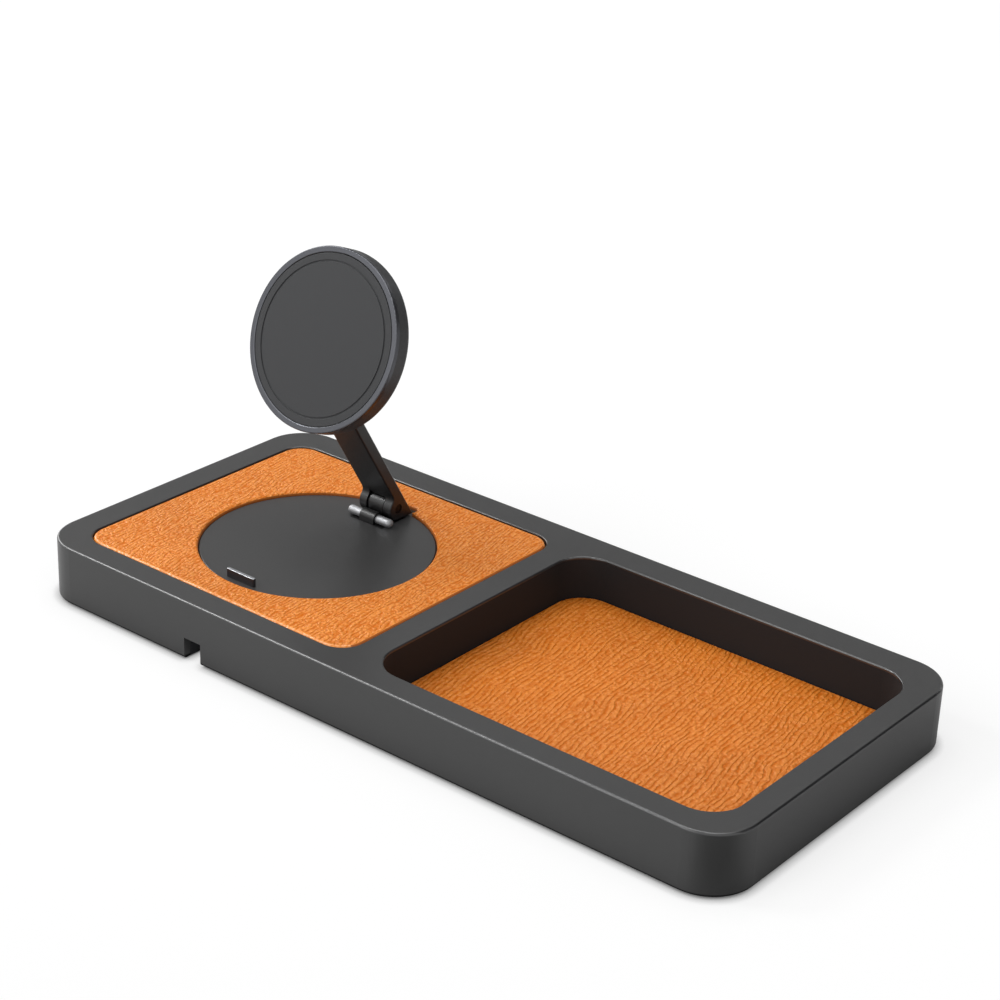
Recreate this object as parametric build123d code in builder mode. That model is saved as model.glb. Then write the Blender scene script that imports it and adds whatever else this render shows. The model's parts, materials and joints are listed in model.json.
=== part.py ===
from build123d import *
import math
import os

# Desk tray with a leather pad that carries a fold-flat phone charging stand, and a leather
# lined well beside it. Millimetres. X runs along the tray, Y to its back, Z up, and the
# origin is on the table under the middle of the tray.
os.makedirs("parts", exist_ok=True)

# Tray
tray_length = 260.0
tray_width = 119.0
tray_height = 19.5
corner_radius = 14.0
top_edge_radius = 0.8
bottom_edge_radius = 0.9
rim_front = 8.9
rim_back = 10.9
rim_left = 10.2
rim_right = 8.5
divider_width = 9.2
outer_wall = 2.6
inner_wall = 2.4
deck_thickness = 2.4
overrun = 5.0

# Pad on the left and well on the right
panel_length = 110.8
panel_corner_radius = 8.0
panel_gap = 0.25
panel_leather_thickness = 1.4
panel_board_thickness = 1.6
leather_roll = 0.7
leather_cut_round = 0.4
well_corner_radius = 10.8
well_depth = 14.1
well_edge_radius = 0.5
well_gap = 0.2
well_leather_thickness = 1.2
well_board_thickness = 0.8

# Underside
cover_thickness = 1.8
cover_gap = 0.2
foot_proud = 0.6
foot_sink = 0.6
foot_radius = 6.0
foot_edge_round = 0.25
foot_inset_x = 26.0
foot_inset_y = 15.5

# Cable way: a notch in the front wall, a channel under the tray and a bay for the plug
notch_from_left = 67.9
notch_width = 6.8
notch_height = 7.0
channel_length = 13.0
channel_wall = 1.5
bay_width = 14.0
bay_end = 45.0

# Stand base, a round plate in the round cut-out of the pad
stand_right = 1.1
stand_forward = 2.4
base_margin = 10.2
base_gap = 0.3
base_recess = 1.0
base_edge_round = 0.35
skirt_inset = 3.5
skirt_wall = 2.4
skirt_gap = 0.3
key_width = 13.5
key_reach = 3.0
key_thickness = 0.8
key_corner_radius = 1.5
clamp_lap = 1.0
clamp_ring_width = 13.0
clamp_thickness = 1.6
clamp_screw_inset = 8.3
clamp_screw_count = 4
clamp_boss_radius = 3.2

# Stop that keeps the phone's lower edge from sliding forward
stop_width = 11.5
stop_thickness = 1.3
stop_height = 2.8
stop_inset = 2.4
stop_corner_round = 0.5
stop_round = 0.3
stop_peg_radius = 0.5
stop_peg_length = 1.9
stop_fit = 0.1

# Folding arm
pivot_inset = 6.6
knuckle_radius = 4.0
knuckle_gap = 0.3
arm_width = 13.5
arm_thickness = 3.8
arm_length = 49.5
arm_rise_angle = 58.3
arm_edge_round = 0.5
gusset_radius = 2.2
fork_gap = 7.1
lug_radius = 3.5
lug_clearance = 0.7
washer_thickness = 0.5
washer_radius = 3.2
washer_clearance = 0.05
pin_radius = 1.5
pin_clearance = 0.05
pin_recess = 0.2
pin_chamfer = 0.2
arm_cover_width = 8.0
arm_cover_thickness = 0.9
arm_cover_fit = 0.1
arm_cover_inset = 7.5
lead_radius = 0.7
lead_clearance = 0.2

# Hinge bracket on the stand base
bracket_width = 13.5
bracket_plate = 1.5
bracket_tail = 3.6
bracket_fit = 0.1
pad_width = 19.0
pad_overlap = 1.6
bar_radius = 1.45
bar_gap = 0.3
bar_length = 18.0
bar_end_round = 1.2
bar_lift = 0.05
rail_width = 5.9
rail_wall = 0.7

# Charging head
head_radius = 28.5
head_thickness = 7.0
head_lean_angle = 68.0
head_gap = 0.4
hinge_to_head_middle = 19.5
head_back_wall = 1.4
head_side_wall = 1.5
head_back_round = 1.6
ring_width = 2.0
ring_height = 1.5
ring_edge_round = 0.35
face_plate_thickness = 1.3
face_pad_recess = 0.15
face_pad_gap = 0.1
magnet_count = 16
magnet_inner_radius = 23.1
magnet_outer_radius = 26.8
magnet_height = 2.2
magnet_gap = 1.0
shield_radius = 22.4
shield_thickness = 0.8
coil_outer_radius = 21.5
coil_inner_radius = 10.0
coil_height = 1.8

# Control board and socket
board_width = 34.0
board_length = 38.0
board_thickness = 1.2
board_gap = 0.3
board_corner_radius = 1.5
board_screw_inset = 3.2
post_radius = 2.4
socket_width = 8.94
socket_height = 3.2
socket_depth = 7.3
socket_wall = 0.3
socket_radius = 1.5
socket_window_gap = 0.25
socket_above_cover = 0.25
socket_out = 1.1
tongue_width = 6.7
tongue_thickness = 0.7
tongue_setback = 0.6
inductor_size = 7.0
inductor_height = 3.0
chip_size = 5.0
chip_height = 0.9
capacitor_radius = 2.0
capacitor_height = 3.4

# Screws: tapping screws under the cover and the base, small ones in the hinge and board
screw_shank_radius = 1.15
screw_head_radius = 2.3
screw_head_height = 1.3
screw_slot_radius = 0.9
screw_slot_depth = 0.6
screw_bite = 7.0
screw_hole_gap = 0.15
cover_boss_radius = 3.3
cover_boss_inset = 12.5
cover_boss_inset_right = 8.2
small_shank_radius = 0.8
small_head_radius = 1.6
small_head_height = 1.0
small_bite = 3.0

# Heights
tray_bottom = foot_proud
tray_top = tray_bottom + tray_height
pocket_floor = tray_top - panel_leather_thickness - panel_board_thickness
deck_underside = pocket_floor - deck_thickness
cover_top = tray_bottom + cover_thickness
well_leather_top = tray_top - well_depth
well_floor = well_leather_top - well_leather_thickness - well_board_thickness
base_top = tray_top - base_recess
notch_roof = tray_bottom + notch_height

# Places in plan
left_side = -tray_length / 2
front_side = -tray_width / 2
panel_width = tray_width - rim_front - rim_back
panel_x = left_side + rim_left + panel_length / 2
panel_y = front_side + rim_front + panel_width / 2
well_length = tray_length - rim_left - panel_length - divider_width - rim_right
well_width = panel_width
well_x = tray_length / 2 - rim_right - well_length / 2
well_y = panel_y
stand_x = panel_x + stand_right
stand_y = panel_y - stand_forward
base_radius = (
    min(panel_length / 2 - stand_right, panel_width / 2 - stand_forward) - base_margin
)
skirt_radius = base_radius - skirt_inset
clamp_radius = base_radius + clamp_lap
clamp_bore_radius = clamp_radius - clamp_ring_width
clamp_screw_circle = base_radius - clamp_screw_inset
notch_x = left_side + notch_from_left
inner_front = front_side + outer_wall

# Screw places under the cover: four round the stand, two in the right-hand corners
mid_boss_x = well_x - well_length / 2 - inner_wall - cover_boss_radius
cover_screw_places = [
    (left_side + cover_boss_inset, front_side + cover_boss_inset),
    (left_side + cover_boss_inset, -front_side - cover_boss_inset),
    (mid_boss_x, front_side + cover_boss_inset),
    (mid_boss_x, -front_side - cover_boss_inset),
    (-left_side - cover_boss_inset_right, front_side + cover_boss_inset_right),
    (-left_side - cover_boss_inset_right, -front_side - cover_boss_inset_right),
]
foot_places = [
    (side_x * (tray_length / 2 - foot_inset_x), side_y * (tray_width / 2 - foot_inset_y))
    for side_x in (-1, 1)
    for side_y in (-1, 1)
]

# Hinge lines and the planes that the arm and the head are drawn on
pivot_y = stand_y + base_radius - pivot_inset
pivot_z = base_top + knuckle_gap + knuckle_radius
rise = math.radians(arm_rise_angle)
arm_direction = (0, -math.cos(rise), math.sin(rise))
arm_plane = Plane(origin=(stand_x, pivot_y, pivot_z), x_dir=arm_direction, z_dir=(1, 0, 0))
head_pivot_y = pivot_y - arm_length * math.cos(rise)
head_pivot_z = pivot_z + arm_length * math.sin(rise)
lean = math.radians(head_lean_angle)
head_direction = (0, math.cos(lean), math.sin(lean))
face_normal = (0, -math.sin(lean), math.cos(lean))
head_side_plane = Plane(
    origin=(stand_x, head_pivot_y, head_pivot_z), x_dir=head_direction, z_dir=(1, 0, 0)
)
head_back_offset = knuckle_radius + head_gap
head_plane = Plane(
    origin=(
        stand_x,
        head_pivot_y
        + hinge_to_head_middle * head_direction[1]
        + head_back_offset * face_normal[1],
        head_pivot_z
        + hinge_to_head_middle * head_direction[2]
        + head_back_offset * face_normal[2],
    ),
    x_dir=(1, 0, 0),
    z_dir=face_normal,
)
lug_width = fork_gap - 2 * washer_thickness - 4 * washer_clearance
slot_reach = lug_radius + lug_clearance
arm_middle_depth = knuckle_radius - arm_thickness / 2


def finish(part, name):
    """Labels a finished piece and writes it."""
    part.label = name
    export_step(part, f"parts/{name}.step")


# Tray body: rim, deck under the pad, well, and a hollow underside with screw bosses
with BuildPart() as tray_body:
    with BuildSketch(Plane.XY.offset(tray_bottom)):
        RectangleRounded(tray_length, tray_width, corner_radius)
    extrude(amount=tray_height)
    fillet(tray_body.edges().group_by(Axis.Z)[-1], top_edge_radius)
    fillet(tray_body.edges().group_by(Axis.Z)[0], bottom_edge_radius)
    with BuildSketch(Plane.XY.offset(tray_top)):
        with Locations((panel_x, panel_y)):
            RectangleRounded(panel_length, panel_width, panel_corner_radius)
    extrude(amount=pocket_floor - tray_top, mode=Mode.SUBTRACT)
    with BuildSketch(Plane.XY.offset(tray_top)):
        with Locations((well_x, well_y)):
            RectangleRounded(well_length, well_width, well_corner_radius)
    extrude(amount=well_floor - tray_top, mode=Mode.SUBTRACT)
    top_edges = tray_body.edges().group_by(Axis.Z)[-1]
    fillet(top_edges.filter_by_position(Axis.X, well_x - well_length, -left_side), well_edge_radius)
    with BuildSketch(Plane.XY.offset(tray_bottom)):
        RectangleRounded(
            tray_length - 2 * outer_wall, tray_width - 2 * outer_wall, corner_radius - outer_wall
        )
    extrude(amount=cover_thickness, mode=Mode.SUBTRACT)
    with BuildSketch(Plane.XY.offset(cover_top)):
        RectangleRounded(
            tray_length - 2 * outer_wall, tray_width - 2 * outer_wall, corner_radius - outer_wall
        )
        with Locations((well_x, well_y)):
            RectangleRounded(
                well_length + 2 * inner_wall,
                well_width + 2 * inner_wall,
                well_corner_radius + inner_wall,
                mode=Mode.SUBTRACT,
            )
    extrude(amount=deck_underside - cover_top, mode=Mode.SUBTRACT)
    with BuildSketch(Plane.XY.offset(pocket_floor)):
        with Locations((stand_x, stand_y)):
            Circle(skirt_radius + skirt_gap)
    extrude(amount=-deck_thickness, mode=Mode.SUBTRACT)
    with BuildSketch(Plane.XY.offset(cover_top)):
        with Locations(*cover_screw_places):
            Circle(cover_boss_radius)
    extrude(amount=deck_underside - cover_top)
    with BuildSketch(Plane.XY.offset(cover_top)):
        with Locations(*cover_screw_places):
            Circle(screw_shank_radius)
    extrude(amount=screw_bite, mode=Mode.SUBTRACT)
    with BuildSketch(Plane.XY.offset(tray_bottom)):
        with Locations((notch_x, front_side + outer_wall / 2)):
            Rectangle(notch_width, outer_wall + overrun)
    extrude(amount=notch_height, mode=Mode.SUBTRACT)
finish(tray_body.part, "tray_body")

# Backing board of the pad, cut round for the stand base and notched for its key
cut_radius = base_radius + base_gap
with BuildPart() as panel_board:
    with BuildSketch(Plane.XY.offset(pocket_floor)):
        with Locations((panel_x, panel_y)):
            RectangleRounded(
                panel_length - 2 * panel_gap,
                panel_width - 2 * panel_gap,
                panel_corner_radius - panel_gap,
            )
        with Locations((stand_x, stand_y)):
            Circle(cut_radius, mode=Mode.SUBTRACT)
            RectangleRounded(
                key_width + 2 * base_gap,
                cut_radius + key_reach,
                key_corner_radius + base_gap,
                align=(Align.CENTER, Align.MIN),
                mode=Mode.SUBTRACT,
            )
    extrude(amount=panel_board_thickness)
finish(panel_board.part, "panel_board")

# Leather of the pad: its outer edge is rolled over the board, its cut edge is eased
with BuildPart() as panel_leather:
    with BuildSketch(Plane.XY.offset(pocket_floor + panel_board_thickness)):
        with Locations((panel_x, panel_y)):
            RectangleRounded(
                panel_length - 2 * panel_gap,
                panel_width - 2 * panel_gap,
                panel_corner_radius - panel_gap,
            )
    extrude(amount=panel_leather_thickness)
    fillet(panel_leather.edges().group_by(Axis.Z)[-1], leather_roll)
    with BuildSketch(Plane.XY.offset(pocket_floor + panel_board_thickness)):
        with Locations((stand_x, stand_y)):
            Circle(cut_radius)
            RectangleRounded(
                key_width + 2 * base_gap,
                cut_radius + key_reach,
                key_corner_radius + base_gap,
                align=(Align.CENTER, Align.MIN),
            )
    extrude(amount=panel_leather_thickness, mode=Mode.SUBTRACT)
    cut_edges = panel_leather.faces().sort_by(Axis.Z)[-1].inner_wires()[0].edges()
    fillet(cut_edges.sort_by(SortBy.LENGTH)[-1], leather_cut_round)
finish(panel_leather.part, "panel_leather")

# Lining of the well: leather on a thin board
with BuildPart() as well_board:
    with BuildSketch(Plane.XY.offset(well_floor)):
        with Locations((well_x, well_y)):
            RectangleRounded(
                well_length - 2 * well_gap,
                well_width - 2 * well_gap,
                well_corner_radius - well_gap,
            )
    extrude(amount=well_board_thickness)
finish(well_board.part, "well_board")

with BuildPart() as well_leather:
    with BuildSketch(Plane.XY.offset(well_floor + well_board_thickness)):
        with Locations((well_x, well_y)):
            RectangleRounded(
                well_length - 2 * well_gap,
                well_width - 2 * well_gap,
                well_corner_radius - well_gap,
            )
    extrude(amount=well_leather_thickness)
finish(well_leather.part, "well_leather")

# Stand base: a flange on the deck, a skirt through it, screw bosses, a pad under the hinge
# and a key at the back that stops it turning
bar_y = pivot_y - knuckle_radius - bar_gap - bar_radius
bar_z = base_top + bar_lift + bar_radius
bracket_front = bar_y - bar_radius - rail_wall
bracket_back = pivot_y + bracket_tail
stop_front = stand_y - base_radius + stop_inset
stop_peg_places = [
    (stand_x + side * stop_width / 3, stop_front + stop_thickness / 2) for side in (-1, 1)
]
hinge_screw_places = [(stand_x + side * bracket_width / 3, pivot_y) for side in (-1, 1)]
with BuildPart() as stand_base:
    with BuildSketch(Plane.XY.offset(pocket_floor)):
        with Locations((stand_x, stand_y)):
            Circle(base_radius)
    extrude(amount=base_top - pocket_floor)
    fillet(stand_base.edges().group_by(Axis.Z)[-1], base_edge_round)
    with BuildSketch(Plane.XY.offset(pocket_floor)):
        with Locations((stand_x, stand_y + base_radius / 2)):
            RectangleRounded(
                key_width,
                base_radius / 2 + key_reach,
                key_corner_radius,
                align=(Align.CENTER, Align.MIN),
            )
    extrude(amount=key_thickness)
    with BuildSketch(Plane.XY.offset(deck_underside)):
        with Locations((stand_x, stand_y)):
            Circle(skirt_radius)
            Circle(skirt_radius - skirt_wall, mode=Mode.SUBTRACT)
            with PolarLocations(clamp_screw_circle, clamp_screw_count, 180 / clamp_screw_count):
                Circle(clamp_boss_radius)
        with Locations((stand_x, bracket_front - pad_overlap)):
            Rectangle(
                pad_width,
                stand_y + skirt_radius - skirt_wall - bracket_front + pad_overlap,
                align=(Align.CENTER, Align.MIN),
            )
    extrude(amount=pocket_floor - deck_underside)
    with BuildSketch(Plane.XY.offset(deck_underside)):
        with Locations((stand_x, stand_y)):
            with PolarLocations(clamp_screw_circle, clamp_screw_count, 180 / clamp_screw_count):
                Circle(screw_shank_radius)
    extrude(amount=base_top - deck_underside - screw_slot_depth, mode=Mode.SUBTRACT)
    with BuildSketch(Plane.XY.offset(base_top)):
        with Locations((stand_x, bracket_front - bracket_fit)):
            Rectangle(
                bracket_width + 2 * bracket_fit,
                bracket_back - bracket_front + 2 * bracket_fit,
                align=(Align.CENTER, Align.MIN),
            )
    extrude(amount=-bracket_plate, mode=Mode.SUBTRACT)
    with BuildSketch(Plane.XY.offset(deck_underside)):
        with Locations(*hinge_screw_places):
            Circle(small_shank_radius + screw_hole_gap)
    extrude(amount=base_top - deck_underside, mode=Mode.SUBTRACT)
    with BuildSketch(Plane.XY.offset(deck_underside)):
        with Locations(*hinge_screw_places):
            Circle(small_head_radius + screw_hole_gap)
    extrude(amount=small_head_height + screw_hole_gap, mode=Mode.SUBTRACT)
    with BuildSketch(Plane.XY.offset(pocket_floor)):
        with Locations(*stop_peg_places):
            Circle(stop_peg_radius + stop_fit)
    extrude(amount=base_top - pocket_floor, mode=Mode.SUBTRACT)
finish(stand_base.part, "stand_base")

# Phone stop: a low lip that stands on the base, with two pegs down into it
with BuildPart() as phone_stop:
    with BuildSketch(Plane.XY.offset(base_top)):
        with Locations((stand_x, stop_front)):
            Rectangle(stop_width, stop_thickness, align=(Align.CENTER, Align.MIN))
    extrude(amount=stop_height)
    fillet(phone_stop.edges().filter_by(Axis.Z), stop_corner_round)
    fillet(phone_stop.faces().sort_by(Axis.Z)[-1].edges(), stop_round)
    with BuildSketch(Plane.XY.offset(base_top)):
        with Locations(*stop_peg_places):
            Circle(stop_peg_radius)
    extrude(amount=-stop_peg_length)
finish(phone_stop.part, "phone_stop")

# Clamp ring that pulls the stand base down on the deck
with BuildPart() as clamp_ring:
    with BuildSketch(Plane.XY.offset(deck_underside - clamp_thickness)):
        with Locations((stand_x, stand_y)):
            Circle(clamp_radius)
            Circle(clamp_bore_radius, mode=Mode.SUBTRACT)
            with PolarLocations(clamp_screw_circle, clamp_screw_count, 180 / clamp_screw_count):
                Circle(screw_shank_radius + screw_hole_gap, mode=Mode.SUBTRACT)
    extrude(amount=clamp_thickness)
finish(clamp_ring.part, "clamp_ring")

clamp_screw_top = base_top - 2 * screw_slot_depth
with BuildPart() as clamp_screws:
    with BuildSketch(Plane.XY.offset(deck_underside - clamp_thickness - screw_head_height)):
        with Locations((stand_x, stand_y)):
            with PolarLocations(clamp_screw_circle, clamp_screw_count, 180 / clamp_screw_count):
                Circle(screw_head_radius)
    extrude(amount=screw_head_height)
    with BuildSketch(Plane.XY.offset(deck_underside - clamp_thickness)):
        with Locations((stand_x, stand_y)):
            with PolarLocations(clamp_screw_circle, clamp_screw_count, 180 / clamp_screw_count):
                Circle(screw_shank_radius)
    extrude(amount=clamp_screw_top - deck_underside + clamp_thickness)
    with BuildSketch(Plane.XY.offset(deck_underside - clamp_thickness - screw_head_height)):
        with Locations((stand_x, stand_y)):
            with PolarLocations(clamp_screw_circle, clamp_screw_count, 180 / clamp_screw_count):
                RegularPolygon(screw_slot_radius, 6)
    extrude(amount=screw_slot_depth, mode=Mode.SUBTRACT)
finish(clamp_screws.part, "clamp_screws")

# Hinge bracket: a plate let into the base, a lug for the pin and a rail for the round bar
# across its front, held from below by two screws
with BuildPart() as hinge_bracket:
    with BuildSketch(Plane.XY.offset(base_top - bracket_plate)):
        with Locations((stand_x, bracket_front)):
            Rectangle(
                bracket_width, bracket_back - bracket_front, align=(Align.CENTER, Align.MIN)
            )
    extrude(amount=bracket_plate)
    with BuildSketch(Plane.YZ.offset(stand_x - lug_width / 2)):
        with Locations((pivot_y, pivot_z)):
            Circle(lug_radius)
            Rectangle(
                2 * lug_radius, pivot_z - base_top, align=(Align.CENTER, Align.MAX)
            )
    extrude(amount=lug_width)
    with BuildSketch(Plane.YZ.offset(stand_x - rail_width / 2)):
        with Locations((bar_y, bar_z)):
            Circle(bar_radius + rail_wall)
            Rectangle(
                2 * (bar_radius + rail_wall), bar_z - base_top, align=(Align.CENTER, Align.MAX)
            )
    extrude(amount=rail_width)
    with BuildSketch(Plane.YZ.offset(stand_x - lug_width / 2)):
        with Locations((pivot_y, pivot_z)):
            Circle(pin_radius + pin_clearance)
    extrude(amount=lug_width, mode=Mode.SUBTRACT)
    with BuildSketch(Plane.YZ.offset(stand_x - rail_width / 2)):
        with Locations((bar_y, bar_z)):
            Circle(bar_radius)
    extrude(amount=rail_width, mode=Mode.SUBTRACT)
    with BuildSketch(Plane.XY.offset(base_top - bracket_plate)):
        with Locations(*hinge_screw_places):
            Circle(small_shank_radius)
    extrude(amount=bracket_plate, mode=Mode.SUBTRACT)
finish(hinge_bracket.part, "hinge_bracket")

with BuildPart() as hinge_bar:
    with BuildSketch(Plane.YZ.offset(stand_x - bar_length / 2)):
        with Locations((bar_y, bar_z)):
            Circle(bar_radius)
    extrude(amount=bar_length)
    fillet(hinge_bar.edges().filter_by(GeomType.CIRCLE), bar_end_round)
finish(hinge_bar.part, "hinge_bar")

hinge_screw_bottom = deck_underside + screw_hole_gap
with BuildPart() as hinge_screws:
    with BuildSketch(Plane.XY.offset(hinge_screw_bottom)):
        with Locations(*hinge_screw_places):
            Circle(small_head_radius)
    extrude(amount=small_head_height)
    with BuildSketch(Plane.XY.offset(hinge_screw_bottom + small_head_height)):
        with Locations(*hinge_screw_places):
            Circle(small_shank_radius)
    extrude(amount=base_top - hinge_screw_bottom - small_head_height - screw_hole_gap)
    with BuildSketch(Plane.XY.offset(hinge_screw_bottom)):
        with Locations(*hinge_screw_places):
            RegularPolygon(small_shank_radius, 6)
    extrude(amount=small_head_height / 2, mode=Mode.SUBTRACT)
finish(hinge_screws.part, "hinge_screws")

# Pins and friction washers of the two hinges
for name, plane in (("base_hinge_pin", arm_plane), ("head_hinge_pin", head_side_plane)):
    with BuildPart() as pin:
        with BuildSketch(plane.offset(pin_recess - arm_width / 2)):
            Circle(pin_radius)
        extrude(amount=arm_width - 2 * pin_recess)
        chamfer(pin.edges().filter_by(GeomType.CIRCLE), pin_chamfer)
    finish(pin.part, name)

washer_offset = lug_width / 2 + washer_clearance
for name, plane in (("base_hinge_washers", arm_plane), ("head_hinge_washers", head_side_plane)):
    with BuildPart() as washers:
        for start in (washer_offset, -washer_offset - washer_thickness):
            with BuildSketch(plane.offset(start)):
                Circle(washer_radius)
                Circle(pin_radius + pin_clearance, mode=Mode.SUBTRACT)
            extrude(amount=washer_thickness)
    finish(washers.part, name)

# Arm: a flat link with a fork at each end and a covered groove for the coil's lead. Its back
# face runs on past the pivot to a heel, which stands on the base when the arm is up: the
# heel's corner is where that face and the heel's underside meet, both touching the knuckle.
arm_cover_length = arm_length - 2 * arm_cover_inset
groove_half = lead_radius + lead_clearance
heel_turn = math.radians(180 - arm_rise_angle) / 2
heel_reach = knuckle_radius * math.tan(heel_turn)
under_point = (
    -knuckle_radius * math.sin(2 * heel_turn),
    -knuckle_radius * math.cos(2 * heel_turn),
)
with BuildPart() as arm:
    with BuildSketch(arm_plane.offset(-arm_width / 2)) as arm_profile:
        with Locations((0, 0), (arm_length, 0)):
            Circle(knuckle_radius)
        with Locations((arm_length / 2, -arm_middle_depth)):
            Rectangle(arm_length, arm_thickness)
        with BuildLine():
            Polyline(
                (0, 0),
                (0, -knuckle_radius),
                (-heel_reach, -knuckle_radius),
                under_point,
                close=True,
            )
        make_face()
        inside_corners = [
            v
            for v in arm_profile.vertices()
            if abs(v.Y - arm_thickness + knuckle_radius) < pin_clearance
        ]
        fillet(inside_corners, gusset_radius)
    extrude(amount=arm_width)
    side_faces = arm.faces().filter_by(Axis.X).sort_by(Axis.X)
    fillet(side_faces[0].edges() + side_faces[-1].edges(), arm_edge_round)
    with BuildSketch(arm_plane.offset(-fork_gap / 2)):
        with Locations((0, 0), (arm_length, 0)):
            Circle(slot_reach)
        with Locations(Location((0, 0), arm_rise_angle)):
            Rectangle(
                2 * slot_reach, knuckle_radius + overrun, align=(Align.CENTER, Align.MIN)
            )
        with Locations((0, arm_thickness - knuckle_radius)):
            Rectangle(
                knuckle_radius + overrun, knuckle_radius + overrun, align=(Align.MIN, Align.MIN)
            )
        with Locations((arm_length, 0)):
            Rectangle(
                knuckle_radius + overrun, 2 * slot_reach, align=(Align.MIN, Align.CENTER)
            )
            Rectangle(
                2 * slot_reach, knuckle_radius + overrun, align=(Align.CENTER, Align.MAX)
            )
    extrude(amount=fork_gap, mode=Mode.SUBTRACT)
    with BuildSketch(arm_plane.offset(-arm_width / 2)):
        with Locations((0, 0), (arm_length, 0)):
            Circle(pin_radius + pin_clearance)
    extrude(amount=arm_width, mode=Mode.SUBTRACT)
    with BuildSketch(arm_plane.offset(-arm_cover_width / 2 - arm_cover_fit)):
        with Locations((arm_length / 2, -knuckle_radius)):
            Rectangle(
                arm_cover_length + 2 * arm_cover_fit,
                arm_cover_thickness + arm_cover_fit,
                align=(Align.CENTER, Align.MIN),
            )
    extrude(amount=arm_cover_width + 2 * arm_cover_fit, mode=Mode.SUBTRACT)
    with BuildSketch(arm_plane.offset(-groove_half)):
        with Locations((arm_length / 2, -knuckle_radius)):
            Rectangle(
                arm_cover_length,
                arm_cover_thickness + 2 * groove_half,
                align=(Align.CENTER, Align.MIN),
            )
    extrude(amount=2 * groove_half, mode=Mode.SUBTRACT)
finish(arm.part, "arm")

with BuildPart() as arm_cover:
    with BuildSketch(arm_plane.offset(-arm_cover_width / 2)):
        with Locations((arm_length / 2, -knuckle_radius)):
            Rectangle(arm_cover_length, arm_cover_thickness, align=(Align.CENTER, Align.MIN))
    extrude(amount=arm_cover_width)
finish(arm_cover.part, "arm_cover")

lead_plane = Plane(
    origin=arm_plane.from_local_coords(
        (arm_cover_inset + lead_clearance, groove_half + arm_cover_thickness - knuckle_radius, 0)
    ),
    z_dir=arm_direction,
)
with BuildPart() as coil_lead:
    with BuildSketch(lead_plane):
        Circle(lead_radius)
    extrude(amount=arm_cover_length - 2 * lead_clearance)
finish(coil_lead.part, "coil_lead")

# Head shell: a round cup with the hinge lug on its back
shell_height = head_thickness - ring_height
cup_radius = head_radius - head_side_wall
with BuildPart() as head_shell:
    with BuildSketch(head_plane):
        Circle(head_radius)
    extrude(amount=shell_height)
    rim_edges = head_shell.edges().sort_by(Axis(head_plane.origin, face_normal))
    fillet(rim_edges[0], head_back_round)
    with BuildSketch(head_plane.offset(head_back_wall)):
        Circle(cup_radius)
    extrude(amount=shell_height - head_back_wall, mode=Mode.SUBTRACT)
    with BuildSketch(head_side_plane.offset(-lug_width / 2)):
        Circle(lug_radius)
        Rectangle(
            2 * lug_radius,
            head_back_offset + head_back_wall / 2,
            align=(Align.CENTER, Align.MIN),
        )
    extrude(amount=lug_width)
    with BuildSketch(head_side_plane.offset(-lug_width / 2)):
        Circle(pin_radius + pin_clearance)
    extrude(amount=lug_width, mode=Mode.SUBTRACT)
finish(head_shell.part, "head_shell")

# Metal ring round the face
with BuildPart() as head_ring:
    with BuildSketch(head_plane.offset(shell_height)):
        Circle(head_radius)
        Circle(head_radius - ring_width, mode=Mode.SUBTRACT)
    extrude(amount=ring_height)
    front_edges = head_ring.edges().sort_by(Axis(head_plane.origin, face_normal))[-2:]
    fillet(front_edges, ring_edge_round)
finish(head_ring.part, "head_ring")

# Inside the cup, from the back: shield with the coil on it, magnets, face plate, soft face
with BuildPart() as shield_plate:
    with BuildSketch(head_plane.offset(head_back_wall)):
        Circle(shield_radius)
    extrude(amount=shield_thickness)
finish(shield_plate.part, "shield_plate")

with BuildPart() as charging_coil:
    with BuildSketch(head_plane.offset(head_back_wall + shield_thickness)):
        Circle(coil_outer_radius)
        Circle(coil_inner_radius, mode=Mode.SUBTRACT)
    extrude(amount=coil_height)
finish(charging_coil.part, "charging_coil")

with BuildPart() as ring_magnets:
    with BuildSketch(head_plane.offset(head_back_wall)):
        Circle(magnet_outer_radius)
        Circle(magnet_inner_radius, mode=Mode.SUBTRACT)
        with PolarLocations((magnet_outer_radius + magnet_inner_radius) / 2, magnet_count):
            Rectangle(
                magnet_outer_radius - magnet_inner_radius + overrun,
                magnet_gap,
                mode=Mode.SUBTRACT,
            )
    extrude(amount=magnet_height)
finish(ring_magnets.part, "ring_magnets")

face_plate_start = shell_height - face_plate_thickness
with BuildPart() as face_plate:
    with BuildSketch(head_plane.offset(face_plate_start)):
        Circle(cup_radius - face_pad_gap)
    extrude(amount=face_plate_thickness)
finish(face_plate.part, "face_plate")

with BuildPart() as face_pad:
    with BuildSketch(head_plane.offset(shell_height)):
        Circle(head_radius - ring_width - face_pad_gap)
    extrude(amount=ring_height - face_pad_recess)
finish(face_pad.part, "face_pad")

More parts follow.
